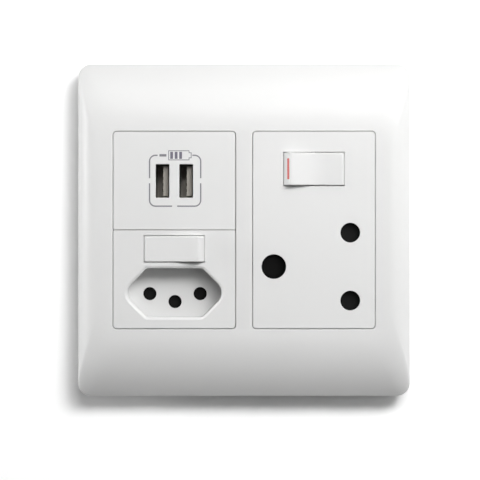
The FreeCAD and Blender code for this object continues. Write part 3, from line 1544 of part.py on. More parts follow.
def make_port(label, x):
    """One charging port: a folded steel shell, a tongue on its root, and four contacts."""
    z = dim.port_z
    wall = dim.shell_wall
    wide = dim.port_opening_width
    tall = dim.port_opening_height
    front = face_back - dim.loose_gap
    back = front - dim.shell_depth
    outer = rounded_block(
        f"{label}_shell_outer", wide + 2 * wall, tall + 2 * wall, dim.shell_corner,
        (back, front), x, z,
    )
    inner = rounded_block(
        f"{label}_shell_inner", wide, tall, dim.port_corner, (back - past, front + past), x, z
    )
    latch_z = tall / 4
    latch_out = (back + dim.latch_back, back + dim.latch_back + dim.latch_length)
    latches = []
    for index, rise in enumerate((-1, 1)):
        latches.append(block(
            f"{label}_latch_{index}", about(x, wide + 4), latch_out,
            about(z + rise * latch_z, dim.latch_height),
        ))
    shell = cut(f"{label}_shell_made", outer, [inner] + latches)
    keep(f"usb_{label}_shell", shell, left_column)

    fit = dim.tongue_fit
    root_front = back + dim.tongue_root
    tongue_right = x + wide / 2 - dim.tongue_side_gap
    tongue_x = (tongue_right - dim.tongue_thickness, tongue_right)
    tongue = join(f"{label}_tongue_made", [
        rounded_block(
            f"{label}_root", wide - 2 * fit, tall - 2 * fit, dim.port_corner,
            (back, root_front), x, z,
        ),
        block(
            f"{label}_blade", tongue_x, (root_front - dim.seat_overlap, front - dim.tongue_set_back),
            about(z, dim.tongue_height),
        ),
    ])
    keep(f"usb_{label}_tongue", tongue, left_column)

    strips = []
    contact_x = (tongue_x[0] - dim.port_contact_thickness, tongue_x[0])
    contact_front = front - dim.tongue_set_back - dim.port_contact_set_back
    for index in range(PORT_CONTACTS):
        contact_z = z + (index - (PORT_CONTACTS - 1) / 2) * dim.port_contact_spacing
        strips.append(block(
            f"{label}_contact_{index}", contact_x, (root_front, contact_front),
            about(contact_z, dim.port_contact_width),
        ))
    keep(f"usb_{label}_contacts", join(f"{label}_contact_set", strips), left_column)
    return back


def make_charging_module():
    base_height = half_window_height - 2 * dim.base_clearance
    base_z = half_window_z
    inner_low = base_z - base_height / 2 + dim.base_wall
    inner_high = base_z + base_height / 2 - dim.base_wall
    shell = cover_shell("usb_cover", half_module_height, half_module_z)
    tube_x = dim.case_boss_radius + dim.case_tube_wall + dim.case_tube_gap
    side_x = base_inner - tube_x
    rim = dim.large_plate_back
    boss = (face_back + dim.seat_overlap, rim + dim.charging_rim_gap, rim)
    screws = [
        case_screw_parts("usb_left_case", -side_x, inner_high - tube_x, *boss),
        case_screw_parts("usb_right_case", side_x, inner_low + tube_x, *boss),
    ]
    openings = []
    half_spacing = dim.port_spacing / 2
    for label, x in (("left", -half_spacing), ("right", half_spacing)):
        openings.append(rounded_block(
            f"usb_{label}_opening", dim.port_opening_width, dim.port_opening_height, dim.port_corner,
            (face_back - past, face_out + past), x, dim.port_z,
        ))
        back = make_port(label, x)
    solid = join("usb_cover_blank", [shell] + [s["boss"] for s in screws])
    cover = cut("usb_cover_made", solid, openings + [s["boss_hole"] for s in screws])
    keep("usb_front_cover", cover, left_column)

    board_out = (back - dim.board_thickness, back)
    board = block(
        "usb_board_sheet", about(0, dim.board_width), board_out, about(base_z, dim.board_height)
    )
    notches = []
    for index, screw_x in enumerate((-side_x, side_x)):
        screw_z = inner_high - tube_x if index == 0 else inner_low + tube_x
        notches.append(post(
            f"usb_board_notch_{index}", screw_x, screw_z, (board_out[0] - past, board_out[1] + past),
            dim.case_boss_radius + dim.case_tube_wall + dim.loose_gap,
        ))
    keep("usb_circuit_board", cut("usb_board_made", board, notches), left_column)

    under = board_out[0]
    core = dim.transformer_size
    core_x = dim.transformer_x
    core_z = base_z - dim.transformer_drop
    core_back = under - dim.transformer_depth
    winding = block(
        "usb_winding", about(core_x, core - dim.winding_inset), (core_back, under),
        about(core_z, core),
    )
    yoke = block(
        "usb_core", about(core_x, core), (core_back + dim.core_back, under - dim.core_front),
        about(core_z, core - dim.core_inset),
    )
    keep("usb_transformer", join("usb_transformer_made", [winding, yoke]), left_column)
    cans = []
    for index, x in enumerate((dim.left_capacitor_x, dim.right_capacitor_x)):
        cans.append(post(
            f"usb_can_{index}", x, base_z - dim.capacitor_drop,
            (under - dim.capacitor_length, under), dim.capacitor_radius,
        ))
    keep("usb_capacitors", join("usb_can_set", cans), left_column)

    edge = dim.terminal_size / 2 + dim.terminal_clearance
    terminal_z = inner_high - edge
    wide = dim.charge_terminal_width
    offset = wide / 4
    block_x = dim.charge_terminal_x
    housing = block(
        "usb_terminal_body", about(block_x, wide), (-dim.terminal_back, under),
        about(terminal_z, dim.terminal_size),
    )
    clamps = []
    holes = []
    for index, side in enumerate((-1, 1)):
        clamp = terminal(f"usb_clamp_{index}", block_x + side * offset, terminal_z, "z")
        doc.removeObject(clamp["block"].Name)
        clamps.append(clamp)
        holes += clamp["holes"]
    keep("usb_terminal_block", cut("usb_terminal_made", housing, holes), left_column)
    keep("usb_terminal_screws", join("usb_clamp_set", [c["screw"] for c in clamps]), left_column)
    keep("usb_case_screws", join("usb_case_set", [s["screw"] for s in screws]), left_column)

    shell = base_shell("usb_base", base_height, base_z, rim)
    ribs = []
    for index, side in enumerate((-1, 1)):
        rib_x = (base_inner - dim.board_rib_width, base_inner + dim.seat_overlap)
        rib_x = rib_x if side > 0 else (-rib_x[1], -rib_x[0])
        ribs.append(block(
            f"usb_board_rib_{index}", rib_x, (-dim.base_reach + dim.seat_overlap, under),
            about(base_z, dim.board_rib_height),
        ))
    solid = join("usb_base_blank", [shell] + ribs + [s["tube"] for s in screws])
    tools = [c["access"] for c in clamps]
    tools += [s["tube_hole"] for s in screws] + [s["head_hole"] for s in screws]
    for index, side in enumerate((-1, 1)):
        tools.append(upright(
            f"usb_wire_entry_{index}", block_x + side * offset, -dim.wire_depth,
            (inner_high - past, inner_high + dim.base_wall + past), dim.wire_radius + dim.access_clearance,
        ))
    keep("usb_rear_housing", cut("usb_base_made", solid, tools), left_column)


def check_and_write():
    """Stops if any object failed, then writes each sub-part to its own file."""
    doc.recompute()
    for thing in doc.Objects:
        if "Invalid" in thing.State or "Error" in thing.State:
            raise RuntimeError(f"{thing.Name} failed: {thing.State}")
    os.makedirs("parts", exist_ok=True)
    for name, thing in nodes.items():
        shape = thing.Shape
        if shape.isNull() or not shape.isValid() or not shape.Solids:
            raise RuntimeError(f"{name} has no valid solid")
        shape.exportStep(f"parts/{name}.step")
        print(f"{name}: {len(shape.Solids)} solids, {shape.Volume:.1f} mm3")


make_cover_plate()
make_mounting_frame()
make_box_screws()
make_large_socket()
make_small_socket()
make_charging_module()
check_and_write()
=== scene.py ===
"""Looks of a square wall plate with charging ports and two switched sockets, laid over its CAD frame."""

import math

import bmesh
import bpy
from mathutils import Matrix, Vector
from mathutils.geometry import tessellate_polygon


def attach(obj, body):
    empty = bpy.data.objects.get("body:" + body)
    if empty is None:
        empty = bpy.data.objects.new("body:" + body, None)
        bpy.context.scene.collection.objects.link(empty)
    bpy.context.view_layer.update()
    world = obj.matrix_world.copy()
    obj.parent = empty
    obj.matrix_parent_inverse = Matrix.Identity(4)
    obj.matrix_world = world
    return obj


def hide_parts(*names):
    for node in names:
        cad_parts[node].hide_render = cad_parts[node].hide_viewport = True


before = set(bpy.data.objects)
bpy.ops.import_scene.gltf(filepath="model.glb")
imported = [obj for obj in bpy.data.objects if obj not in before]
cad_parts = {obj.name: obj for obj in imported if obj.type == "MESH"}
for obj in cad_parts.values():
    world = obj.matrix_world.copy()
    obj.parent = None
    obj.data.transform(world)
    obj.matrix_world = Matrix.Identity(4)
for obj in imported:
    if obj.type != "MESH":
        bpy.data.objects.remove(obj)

bl_info = {
    "name": "Wall socket looks",
    "version": (1, 0, 0),
    "blender": (4, 5, 0),
    "location": "View3D > Sidebar > Socket",
    "description": "Builds the visible pieces, materials, lights and camera of a wall socket",
    "category": "Object",
}

MM = 0.001
SENSOR_WIDTH = 36.0

# The four corners of a rectangle, anticlockwise from the upper right
QUARTERS = ((1, 1), (-1, 1), (-1, -1), (1, -1))

# Steps in a rounded edge, in a quarter turn and in a full turn
EDGE_STEPS = 3
FEW_STEPS = 4
CORNER_STEPS = 8
FINE_STEPS = 16
HOLE_STEPS = 48
PIN_STEPS = 72
DRUM_STEPS = 128

# How far a cutter reaches past the piece, and how straight a flat face looks forward
PAST = MM
FORWARD = 0.99

# Detail of a noise, from smooth to finely broken, and the value that it swings about
SMOOTH = 2.0
CLOUDY = 3.0
SANDY = 4.0
WORN = 5.0
ROLLED = 6.0
MIDDLE = 0.5


# Settings

def length(name, description, default):
    return bpy.props.FloatProperty(name=name, description=description, default=default * MM, unit="LENGTH")


def amount(name, description, default):
    return bpy.props.FloatProperty(name=name, description=description, default=default, unit="NONE")


def angle(name, description, default):
    return bpy.props.FloatProperty(
        name=name, description=description, default=math.radians(default), unit="ROTATION"
    )


def count(name, description, default):
    return bpy.props.IntProperty(name=name, description=description, default=default)


def colour(name, description, default):
    return bpy.props.FloatVectorProperty(
        name=name, description=description, default=default, subtype="COLOR", size=3, unit="NONE"
    )


def spot(name, description, default):
    return bpy.props.FloatVectorProperty(
        name=name, description=description, default=default, subtype="TRANSLATION", size=3, unit="LENGTH"
    )


class PlateSettings(bpy.types.PropertyGroup):
    width: length("Width", "Width and height of the cover plate", 125)
    depth: length("Depth", "How far the plate's flat front stands out of the wall", 10.5)
    rim: length("Rim height", "Straight part of the plate's edge", 3.5)
    wall: length("Wall", "Thickness of the plate", 2.2)
    end_band: length("End band", "Height of the curved band at the top and the bottom", 24)
    side_band: length("Side band", "Width of the curved band at each side", 8.5)
    corner: length("Corner", "Corner radius at the rim", 4.8)
    brow: length("Brow corner", "Corner radius where the curved bands begin", 10)
    rounding: length("Rounding", "Rounding of the openings' edges", 0.3)
    opening_width: length("Opening width", "Width of each opening", 46)
    opening_height: length("Opening height", "Height of each opening", 74)
    opening_corner: length("Opening corner", "Corner radius of each opening", 1.5)
    opening_wall: length("Opening wall", "Thickness of the wall round each opening", 1.3)
    opening_back: length("Opening back", "Where the wall round each opening ends", 3)
    column: length("Column", "Distance of each column from the middle", 26.1)
    levels: count("Levels", "Rings on the curved bands", 28)
    sharp: angle("Sharp from", "Edges that turn more than this stay sharp", 50)


class CoverSettings(bpy.types.PropertyGroup):
    proud: length("Front", "How far the covers' fronts stand out of the wall", 10.9)
    back: length("Back", "Where the skirts of the covers end", 3)
    face: length("Face", "Thickness of the front wall", 2)
    skirt: length("Skirt", "Thickness of the side walls", 1.7)
    width: length("Width", "Width of a cover", 45.55)
    tall: length("Tall", "Height of the large cover", 73.55)
    short: length("Short", "Height of each half cover", 36.65)
    half_z: length("Half height", "Height of the half covers' middles", 18.425)
    corner: length("Corner", "Corner radius of a cover", 1.3)
    split_corner: length("Split corner", "Corner radius where two covers meet", 0.35)
    rounding: length("Rounding", "Rounding of the covers' edges", 0.28)
    hole_rounding: length("Hole rounding", "Rounding of the charging cover's edges", 0.2)
    rounded: angle("Rounded from", "Edges that turn more than this are rounded", 35)


class SocketSettings(bpy.types.PropertyGroup):
    pivot: length("Pivot", "How far the rocker pivots stand out of the wall", 4.7)
    window: length("Window radius", "Radius of a rocker's window", 13)
    large_z: length("Large rocker", "Height of the large rocker's middle", 22.8)
    large_tall: length("Large window", "Height of the large rocker's window", 12.8)
    small_z: length("Small rocker", "Height of the small rocker's middle", -7.1)
    small_tall: length("Small window", "Height of the small rocker's window", 10.2)
    line_x: length("Line pins", "Distance of the large line holes from the column's middle", 13.58)
    earth_x: length("Earth pin", "Distance of the large earth hole from the column's middle", -15)
    line_r: length("Line hole", "Radius of the large line holes", 3.7)
    earth_r: length("Earth hole", "Radius of the large earth hole", 4.6)
    large_mid: length("Large middle", "Height of the large earth hole", -13.7)
    large_step: length("Large step", "Distance of each large line hole from that height", 12.7)
    small_x: length("Small pins", "Distance of the small outer holes from the middle one", 9.5)
    small_line: length("Small line", "Height of the small outer holes", -24)
    small_earth: length("Small earth", "Height of the small middle hole", -27)
    small_r: length("Small hole", "Radius of the small holes", 2.5)


class RecessSettings(bpy.types.PropertyGroup):
    width: length("Width", "Width of the six-sided recess", 37.6)
    height: length("Height", "Height of the recess", 20.1)
    tip: length("Tip", "Radius of its two tips", 5)
    z: length("Place", "Height of its middle", -23.5)
    depth: length("Depth", "Depth of the recess", 8.5)
    draft: length("Draft", "How much its floor is narrower on each side", 1)
    rim: length("Rim", "Width of the slanted rim", 0.65)
    corner: length("Corner", "Corner radius", 2.2)
    wall: length("Wall", "Thickness of its walls", 1.2)
    floor: length("Floor", "Thickness of its floor", 1.5)


class PortSettings(bpy.types.PropertyGroup):
    width: length("Width", "Width of a port's opening", 5.12)
    height: length("Height", "Height of a port's opening", 12.5)
    spacing: length("Spacing", "Distance between the ports' middles", 8.85)
    z: length("Place", "Height of the ports' middles", 18.3)
    corner: length("Corner", "Corner radius of a port's opening", 0.3)


class PrintSettings(bpy.types.PropertyGroup):
    x: length("Across", "Middle of the printed frame from the column's middle", 0.3)
    z: length("Place", "Height of the printed frame's middle", 18.4)
    width: length("Width", "Width of the printed frame", 19.1)
    height: length("Height", "Height of the printed frame", 19)
    corner: length("Corner", "Corner radius of the printed frame", 2.2)
    stroke: length("Stroke", "Width of the printed line", 0.5)
    thin: length("Thin stroke", "Width of the battery's outline", 0.28)
    lift: length("Lift", "Thickness of the print", 0.012)
    gap: length("Side gap", "Half of the gap in each side of the frame", 0.95)
    low_left: length("Lower gap left", "Where the lower gap begins, left of the frame's middle", 1.15)
    low_right: length("Lower gap right", "Where the lower gap ends, right of the frame's middle", 0.75)
    top_left: length("Top left", "Where the upper line stops, from the frame's left side", 3)
    top_right: length("Top right", "Where the upper line starts again, from the right side", 3.1)
    dash_left: length("Dash start", "Where the dash begins, from the frame's left side", 3.7)
    dash_right: length("Dash end", "Where the dash ends, from the frame's left side", 6.3)
    dash_half: length("Dash height", "Half the height of the dash", 0.45)
    cell_left: length("Battery place", "Where the battery begins, from the frame's left side", 7)
    cell_long: length("Battery length", "Length of the battery without its tip", 7.9)
    cell_half: length("Battery height", "Half the height of the battery", 1.85)
    nub: length("Battery tip", "Length of the battery's tip and half its height", 0.8)
    bars: count("Bars", "Number of bars in the battery", 3)
    bar_first: length("First bar", "Middle of the first bar, from the battery's left side", 1.25)
    bar_step: length("Bar step", "Distance between the bars' middles", 1.68)
    bar_wide: length("Bar width", "Half the width of a bar", 0.52)
    bar_tall: length("Bar height", "Half the height of a bar", 1.32)
    tint: colour("Line colour", "Colour of the printed line", (0.215, 0.213, 0.235))
    dark: colour("Bar colour", "Colour of the printed bars", (0.155, 0.145, 0.19))


class PlasticSettings(bpy.types.PropertyGroup):
    plate: colour("Plate colour", "Colour of the cover plate", (0.77, 0.77, 0.765))
    cover: colour("Cover colour", "Colour of the covers and rockers", (0.77, 0.77, 0.765))
    inner: colour("Inner colour", "Colour of the hidden plastic pieces", (0.66, 0.66, 0.64))
    red: colour("Mark colour", "Colour of the mark in the rockers", (0.58, 0.05, 0.045))
    black: colour("Shutter colour", "Colour of the shutters", (0.006, 0.006, 0.006))
    tongue: colour("Tongue colour", "Colour of the tongues in the ports", (0.5, 0.47, 0.42))
    rough: amount("Roughness", "Roughness of the glossy plastic", 0.44)
    # Painted shade: plastic that lies deep behind the front is darkened in its colour
    painted_shade_front: length("Shade front", "How far out of the wall the painted shade begins", 8.5)
    painted_shade_fade: length("Shade fade", "Depth over which the painted shade deepens", 5)
    painted_shade_lightness: amount("Painted shade", "Lightness of the painted shade on the covers' deep parts", 0.84)
    # Painted shade on the plate's curved bands, which are darkened towards the wall
    edge: amount("Edge", "Lightness of the plate's bands beside its front", 0.9)
    grain: amount("Grain", "Grains for each millimetre of the glossy plastic", 2.6)
    relief: length("Relief", "Height of the glossy plastic's grain", 0.0012)
    clouds: amount("Clouds", "Clouds for each metre of the glossy plastic", 45)
    mottle: amount("Mottle", "How much the clouds change the glossy plastic's tint", 0.015)
    wipes: amount("Wipes", "Wiped patches for each metre of the glossy plastic", 260)
    wiped: amount("Wiped", "How much the wiped patches change its roughness", 0.08)
    dark: colour("Dark colour", "Colour of the dark electrical pieces", (0.05, 0.05, 0.048))
    matt_rough: amount("Matt roughness", "Roughness of the matt plastic", 0.5)
    mark_rough: amount("Mark roughness", "Roughness of the marks in the rockers", 0.4)
    shutter_rough: amount("Shutter roughness", "Roughness of the shutters", 0.6)
    sheen: amount("Sheen", "Sheen of all the plastic but the shutters", 0.5)
    shutter_sheen: amount("Shutter sheen", "Sheen of the shutters", 0.1)
    matt_grain: amount("Matt grain", "Grains for each metre of the matt plastic", 1800)
    matt_wear: amount("Matt wear", "How much the grain changes its roughness", 0.2)
    matt_clouds: amount("Matt clouds", "Clouds for each metre of the matt plastic", 90)
    matt_mottle: amount("Matt mottle", "How much the clouds change the matt plastic's tint", 0.06)
    coarse: length("Coarse relief", "Height of the grain of the hidden pieces", 0.006)
    medium: length("Medium relief", "Height of the grain of the shutters and tongues", 0.004)
    fine: length("Fine relief", "Height of the grain of the marks and the print", 0.002)


class MetalSettings(bpy.types.PropertyGroup):
    steel: colour("Steel colour", "Colour of the steel pieces", (0.46, 0.46, 0.47))
    shell: colour("Shell colour", "Colour of the port shells", (0.2, 0.195, 0.18))
    brass: colour("Brass colour", "Colour of the brass pieces", (0.62, 0.42, 0.16))
    # Painted shade: the port contacts are near black, standing in for the shade in their notches
    dull: colour("Port contact colour", "Colour of the contacts in the ports", (0.04, 0.035, 0.03))
    rough: amount("Roughness", "Roughness of the metal pieces", 0.36)
    rougher: amount("Port roughness", "How much rougher the metal in the ports is", 0.1)
    stretch: amount("Stretch", "How much longer than wide the rolled lines are", 6)
    lines: amount("Lines", "Rolled lines for each metre", 600)
    line_wear: amount("Line wear", "How much the lines change the roughness", 0.3)
    patches: amount("Patches", "Dull patches for each metre", 120)
    patch_wear: amount("Patch wear", "How much the patches change the roughness", 0.15)
    patch_low: amount("Patch dark", "Lightness of the darkest patch", 0.82)
    patch_high: amount("Patch light", "Lightness of the lightest patch", 1.12)
    relief: length("Relief", "Height of the rolled lines", 0.01)


class BoardSettings(bpy.types.PropertyGroup):
    tracks: amount("Tracks", "Tracks for each metre", 420)
    gap: amount("Gap", "Width of the lines between the tracks, as a share of a track", 0.03)
    clouds: amount("Clouds", "Clouds for each metre of lacquer", 300)
    shade: colour("Dark lacquer", "Darkest colour of the lacquer", (0.008, 0.07, 0.02))
    light: colour("Light lacquer", "Lightest colour of the lacquer", (0.012, 0.1, 0.03))
    line: colour("Line colour", "Colour of the lines between the tracks", (0.03, 0.16, 0.05))
    rough: amount("Roughness", "Roughness of the lacquer", 0.32)
    rougher: amount("Gap roughness", "How much rougher the gaps are", 0.1)


class StageSettings(bpy.types.PropertyGroup):
    scale: amount("Scale", "Photo pixels for each millimetre of the plate", 2.675)
    pixels: amount("Pixels", "Width of the photo", 480)
    across: amount("Right of middle", "How far right of the photo's middle the plate's is, in pixels", 4.15)
    above: amount("Above middle", "How far above the photo's middle the plate's is, in pixels", 10)
    distance: length("Distance", "How far the camera is from the plate's front", 800)
    wall_tint: amount("Wall lightness", "How much light the wall gives back", 1.3)
    wall_back: length("Wall place", "How far the wall is behind the plate's back", 5)
    wall_reach: length("Wall reach", "How far the wall reaches from its middle", 1200)
    world: amount("World", "Strength of the even light", 0.04)


class LightSettings(bpy.types.PropertyGroup):
    key: amount("Key power", "Power of the light in front, above and at the right", 6.4)
    key_at: spot("Key place", "Middle of the key light", (0.6, -1.0, 0.7))
    key_wide: length("Key width", "Width of the key light", 500)
    key_tall: length("Key height", "Height of the key light", 500)
    side: amount("Side power", "Power of the light in front and at the right", 1.4)
    side_at: spot("Side place", "Middle of the side light", (0.6, -1.0, 0.0))
    side_wide: length("Side width", "Width of the side light", 500)
    side_tall: length("Side height", "Height of the side light", 500)
    ceiling: amount("Ceiling power", "Power of the light far above", 3.6)
    ceiling_at: spot("Ceiling place", "Middle of the ceiling light", (0.6, -1.0, 2.4))
    ceiling_wide: length("Ceiling width", "Width of the ceiling light", 500)
    ceiling_tall: length("Ceiling height", "Height of the ceiling light", 500)
    near: amount("Near power", "Power of the long light close above", 1.62)
    near_at: spot("Near place", "Middle of the near light", (0.16, -0.36, 0.22))
    near_wide: length("Near width", "Width of the near light", 560)
    near_tall: length("Near height", "Height of the near light", 150)
    fill: amount("Fill power", "Power of the light in front and at the left", 0.3)
    fill_at: spot("Fill place", "Middle of the fill light", (-0.5, -0.6, 0.2))
    fill_wide: length("Fill width", "Width of the fill light", 300)
    fill_tall: length("Fill height", "Height of the fill light", 300)
    left: amount("Left power", "Power of the grazing light at the left", 4.2)
    left_at: spot("Left place", "Middle of the left light", (-0.9, -0.1, 0.15))
    left_wide: length("Left width", "Width of the left light", 120)
    left_tall: length("Left height", "Height of the left light", 300)
    back: amount("Back power", "Power of the light behind the wall, for the rear", 14)
    back_at: spot("Back place", "Middle of the back light", (-0.5, 1.0, 0.5))
    back_wide: length("Back width", "Width of the back light", 700)
    back_tall: length("Back height", "Height of the back light", 700)


# Shader maths

class Value:
    """A shader socket that takes part in Python sums."""

    def __init__(self, shader, socket):
        self.shader = shader
        self.socket = socket

    def __add__(self, other):
        return self.shader.maths("ADD", self, other)

    def __radd__(self, other):
        return self.shader.maths("ADD", other, self)

    def __sub__(self, other):
        return self.shader.maths("SUBTRACT", self, other)

    def __rsub__(self, other):
        return self.shader.maths("SUBTRACT", other, self)

    def __mul__(self, other):
        return self.shader.maths("MULTIPLY", self, other)

    def __rmul__(self, other):
        return self.shader.maths("MULTIPLY", other, self)

    def __truediv__(self, other):
        return self.shader.maths("DIVIDE", self, other)

    def __rtruediv__(self, other):
        return self.shader.maths("DIVIDE", other, self)

    def clamp(self):
        return self.shader.maths("MINIMUM", self.shader.maths("MAXIMUM", self, 0.0), 1.0)


class Shader:
    """A material's node tree, with one method that makes any node."""

    def __init__(self, name):
        self.material = bpy.data.materials.new(name)
        self.material.use_nodes = True
        self.tree = self.material.node_tree
        self.tree.nodes.clear()
        self.output = self.tree.nodes.new("ShaderNodeOutputMaterial")

    def feed(self, socket, value):
        if isinstance(value, Value):
            self.tree.links.new(value.socket, socket)
        elif hasattr(socket, "default_value"):
            if socket.type == "RGBA" and len(value) == 3:
                value = (*value, 1.0)
            socket.default_value = value

    def node(self, kind, out=0, inputs=None, **settings):
        made = self.tree.nodes.new(kind)
        for key, value in settings.items():
            setattr(made, key, value)
        for key, value in (inputs or {}).items():
            self.feed(made.inputs[key], value)
        return Value(self, made.outputs[out])

    def maths(self, operation, first, second):
        return self.node("ShaderNodeMath", inputs={0: first, 1: second}, operation=operation)

    def place(self):
        return self.node("ShaderNodeTexCoord", "Object")

    def noise(self, scale, detail, where=None):
        return self.node("ShaderNodeTexNoise", "Fac", {
            "Vector": where or self.place(), "Scale": scale, "Detail": detail,
        })

    def blend(self, share, first, second):
        return self.node("ShaderNodeMix", 2, {0: share, 6: first, 7: second}, data_type="RGBA")

    def bump(self, height, distance):
        return self.node("ShaderNodeBump", "Normal", {"Height": height, "Distance": distance})

    def finish(self, surface):
        self.tree.links.new(surface.socket, self.output.inputs["Surface"])
        return self.material

    def principled(self, **inputs):
        named = {key.replace("_", " "): value for key, value in inputs.items()}
        return self.finish(self.node("ShaderNodeBsdfPrincipled", "BSDF", named))


# Materials

def tinted(tint, factor):
    return tuple(min(1.0, part * factor) for part in tint)


def glossy_plastic(name, tint, looks, painted_shade_lightness):
    """Moulded plastic: a fine grain, faint clouds in its tint and a gloss that varies a little.
    Whatever lies deeper than the front, such as recesses and the plate's curved bands, gets a painted
    shade: a darker colour."""
    shader = Shader(name)
    grain = shader.noise(looks.grain / MM, SANDY)
    clouds = shader.noise(looks.clouds, SMOOTH)
    wipes = shader.noise(looks.wipes, WORN)
    behind = shader.node("ShaderNodeSeparateXYZ", "Y", {0: shader.place()})
    # Painted shade: the colour darkens with depth behind the front, into recesses and down the plate's
    # bands
    painted_shade_share = ((behind + looks.painted_shade_front) / looks.painted_shade_fade).clamp()
    outside = shader.blend(clouds, tinted(tint, 1 - looks.mottle), tinted(tint, 1 + looks.mottle))
    return shader.principled(
        Base_Color=shader.blend(painted_shade_share, outside, tinted(tint, painted_shade_lightness)),
        Roughness=looks.rough + (wipes - MIDDLE) * looks.wiped,
        Specular_IOR_Level=looks.sheen,
        Normal=shader.bump(grain, looks.relief),
    )


def matt_plastic(name, tint, looks, rough, relief, sheen):
    """Plain moulded plastic with a coarser grain."""
    shader = Shader(name)
    grain = shader.noise(looks.matt_grain, WORN)
    clouds = shader.noise(looks.matt_clouds, CLOUDY)
    return shader.principled(
        Base_Color=shader.blend(
            clouds, tinted(tint, 1 - looks.matt_mottle), tinted(tint, 1 + looks.matt_mottle)
        ),
        Roughness=rough + (grain - MIDDLE) * looks.matt_wear,
        Specular_IOR_Level=sheen,
        Normal=shader.bump(grain, relief),
    )


def worn_metal(name, tint, looks, rough, stretch):
    """Rolled metal: fine lines along one way and patches of duller tint."""
    shader = Shader(name)
    where = shader.node("ShaderNodeMapping", 0, {"Vector": shader.place(), "Scale": stretch})
    lines = shader.noise(looks.lines, ROLLED, where)
    patches = shader.noise(looks.patches, CLOUDY)
    return shader.principled(
        Base_Color=shader.blend(patches, tinted(tint, looks.patch_low), tinted(tint, looks.patch_high)),
        Metallic=1.0,
        Roughness=rough + (lines - MIDDLE) * looks.line_wear + (patches - MIDDLE) * looks.patch_wear,
        Normal=shader.bump(lines, looks.relief),
    )


def circuit_board(name, looks):
    """Green lacquer over tracks, with paler lines between them."""
    shader = Shader(name)
    tracks = shader.node("ShaderNodeTexBrick", "Fac", {
        "Vector": shader.place(), "Scale": looks.tracks, "Mortar Size": looks.gap,
    })
    clouds = shader.noise(looks.clouds, SMOOTH)
    green = shader.blend(clouds, looks.shade, looks.light)
    return shader.principled(
        Base_Color=shader.blend(tracks, green, looks.line),
        Roughness=looks.rough + tracks * looks.rougher,
    )


def wall_material(stage):
    """The wall's paint. It isn't shown from behind."""
    shader = Shader("wall_paint")
    paint = shader.node("ShaderNodeBsdfDiffuse", "BSDF", {"Color": (stage.wall_tint,) * 3})
    clear = shader.node("ShaderNodeBsdfTransparent", 0)
    behind = shader.node("ShaderNodeNewGeometry", "Backfacing")
    return shader.finish(shader.node("ShaderNodeMixShader", 0, {0: behind, 1: paint, 2: clear}))


# Mesh helpers

def rounded_outline(half_x, half_z, corner, steps=CORNER_STEPS):
    """Points round a rectangle with rounded corners, anticlockwise as the user sees it."""
    points = []
    for quarter, (side, rise) in enumerate(QUARTERS):
        for step in range(steps + 1):
            turn = math.radians(90 * (quarter + step / steps))
            x = side * (half_x - corner) + corner * math.cos(turn)
            z = rise * (half_z - corner) + corner * math.sin(turn)
            points.append((x, z))
    return points


def rounded_corners(corners, radii, steps=CORNER_STEPS):
    """Points round a convex shape whose corners are rounded, each by its own radius."""
    points = []
    count = len(corners)
    for index, (here, radius) in enumerate(zip(corners, radii)):
        before = Vector(corners[index - 1]) - Vector(here)
        after = Vector(corners[(index + 1) % count]) - Vector(here)
        half = before.angle(after) / 2
        reach = radius / math.tan(half)
        inward = (before.normalized() + after.normalized()).normalized()
        middle = Vector(here) + inward * radius / math.sin(half)
        first = Vector(here) + before.normalized() * reach - middle
        last = Vector(here) + after.normalized() * reach - middle
        sweep = first.angle_signed(last)
        for step in range(steps + 1):
            turn = -sweep * step / steps
            spun = Matrix.Rotation(turn, 2) @ first
            points.append(tuple(middle + spun))
    return points


class Solid:
    """A mesh under construction, made of rings of points at given depths."""

    def __init__(self):
        self.bm = bmesh.new()

    def ring(self, outline, out, x=0.0, z=0.0):
        return [self.bm.verts.new((px + x, -out, pz + z)) for px, pz in outline]

    def skin(self, rings):
        for first, second in zip(rings, rings[1:]):
            for index in range(len(first)):
                after = (index + 1) % len(first)
                self.bm.faces.new((first[index], first[after], second[after], second[index]))

    def fill(self, *rings):
        """A flat face between an outer ring and the holes in it."""
        if len(rings) == 1:
            self.bm.faces.new(rings[0])
            return
        points = [point for ring in rings for point in ring]
        for corners in tessellate_polygon([[point.co for point in ring] for ring in rings]):
            self.bm.faces.new([points[corner] for corner in corners])

    def prism(self, outline, low, high, x=0.0, z=0.0, back_outline=None):
        rings = [self.ring(back_outline or outline, low, x, z), self.ring(outline, high, x, z)]
        self.skin(rings)
        self.fill(rings[0])
        self.fill(rings[1])

    def object(self, name):
        bmesh.ops.recalc_face_normals(self.bm, faces=self.bm.faces)
        mesh = bpy.data.meshes.new(name)
        self.bm.to_mesh(mesh)
        self.bm.free()
        made = bpy.data.objects.new(name, mesh)
        bpy.context.scene.collection.objects.link(made)
        return made


def circle_outline(radius, steps=PIN_STEPS):
    turns = [2 * math.pi * step / steps for step in range(steps)]
    return [(radius * math.cos(turn), radius * math.sin(turn)) for turn in turns]


def cutter(outline, low, high, x=0.0, z=0.0, back_outline=None):
    solid = Solid()
    solid.prism(outline, low, high, x, z, back_outline)
    return solid.object("cutter")


def drum_cutter(x, out, z, radius, tall):
    """A round bar along Z."""
    made = cutter(circle_outline(radius, DRUM_STEPS), -tall / 2, tall / 2)
    made.data.transform(Matrix.Rotation(math.radians(-90), 4, "X"))
    made.data.transform(Matrix.Translation((x, -out, z)))
    return made


def bake(obj):
    """Makes the modifiers' result the object's own mesh."""
    bpy.context.view_layer.update()
    graph = bpy.context.evaluated_depsgraph_get()
    mesh = bpy.data.meshes.new_from_object(obj.evaluated_get(graph))
    obj.modifiers.clear()
    obj.data = mesh


def combine(obj, other, operation):
    change = obj.modifiers.new("combine", "BOOLEAN")
    change.operation = operation
    change.solver = "EXACT"
    change.object = other
    bake(obj)
    bpy.data.objects.remove(other)


def keep_flat(obj):
    """Smooth shading, but not on the faces that look straight forward or back."""
    for face in obj.data.polygons:
        face.use_smooth = abs(face.normal.y) < FORWARD


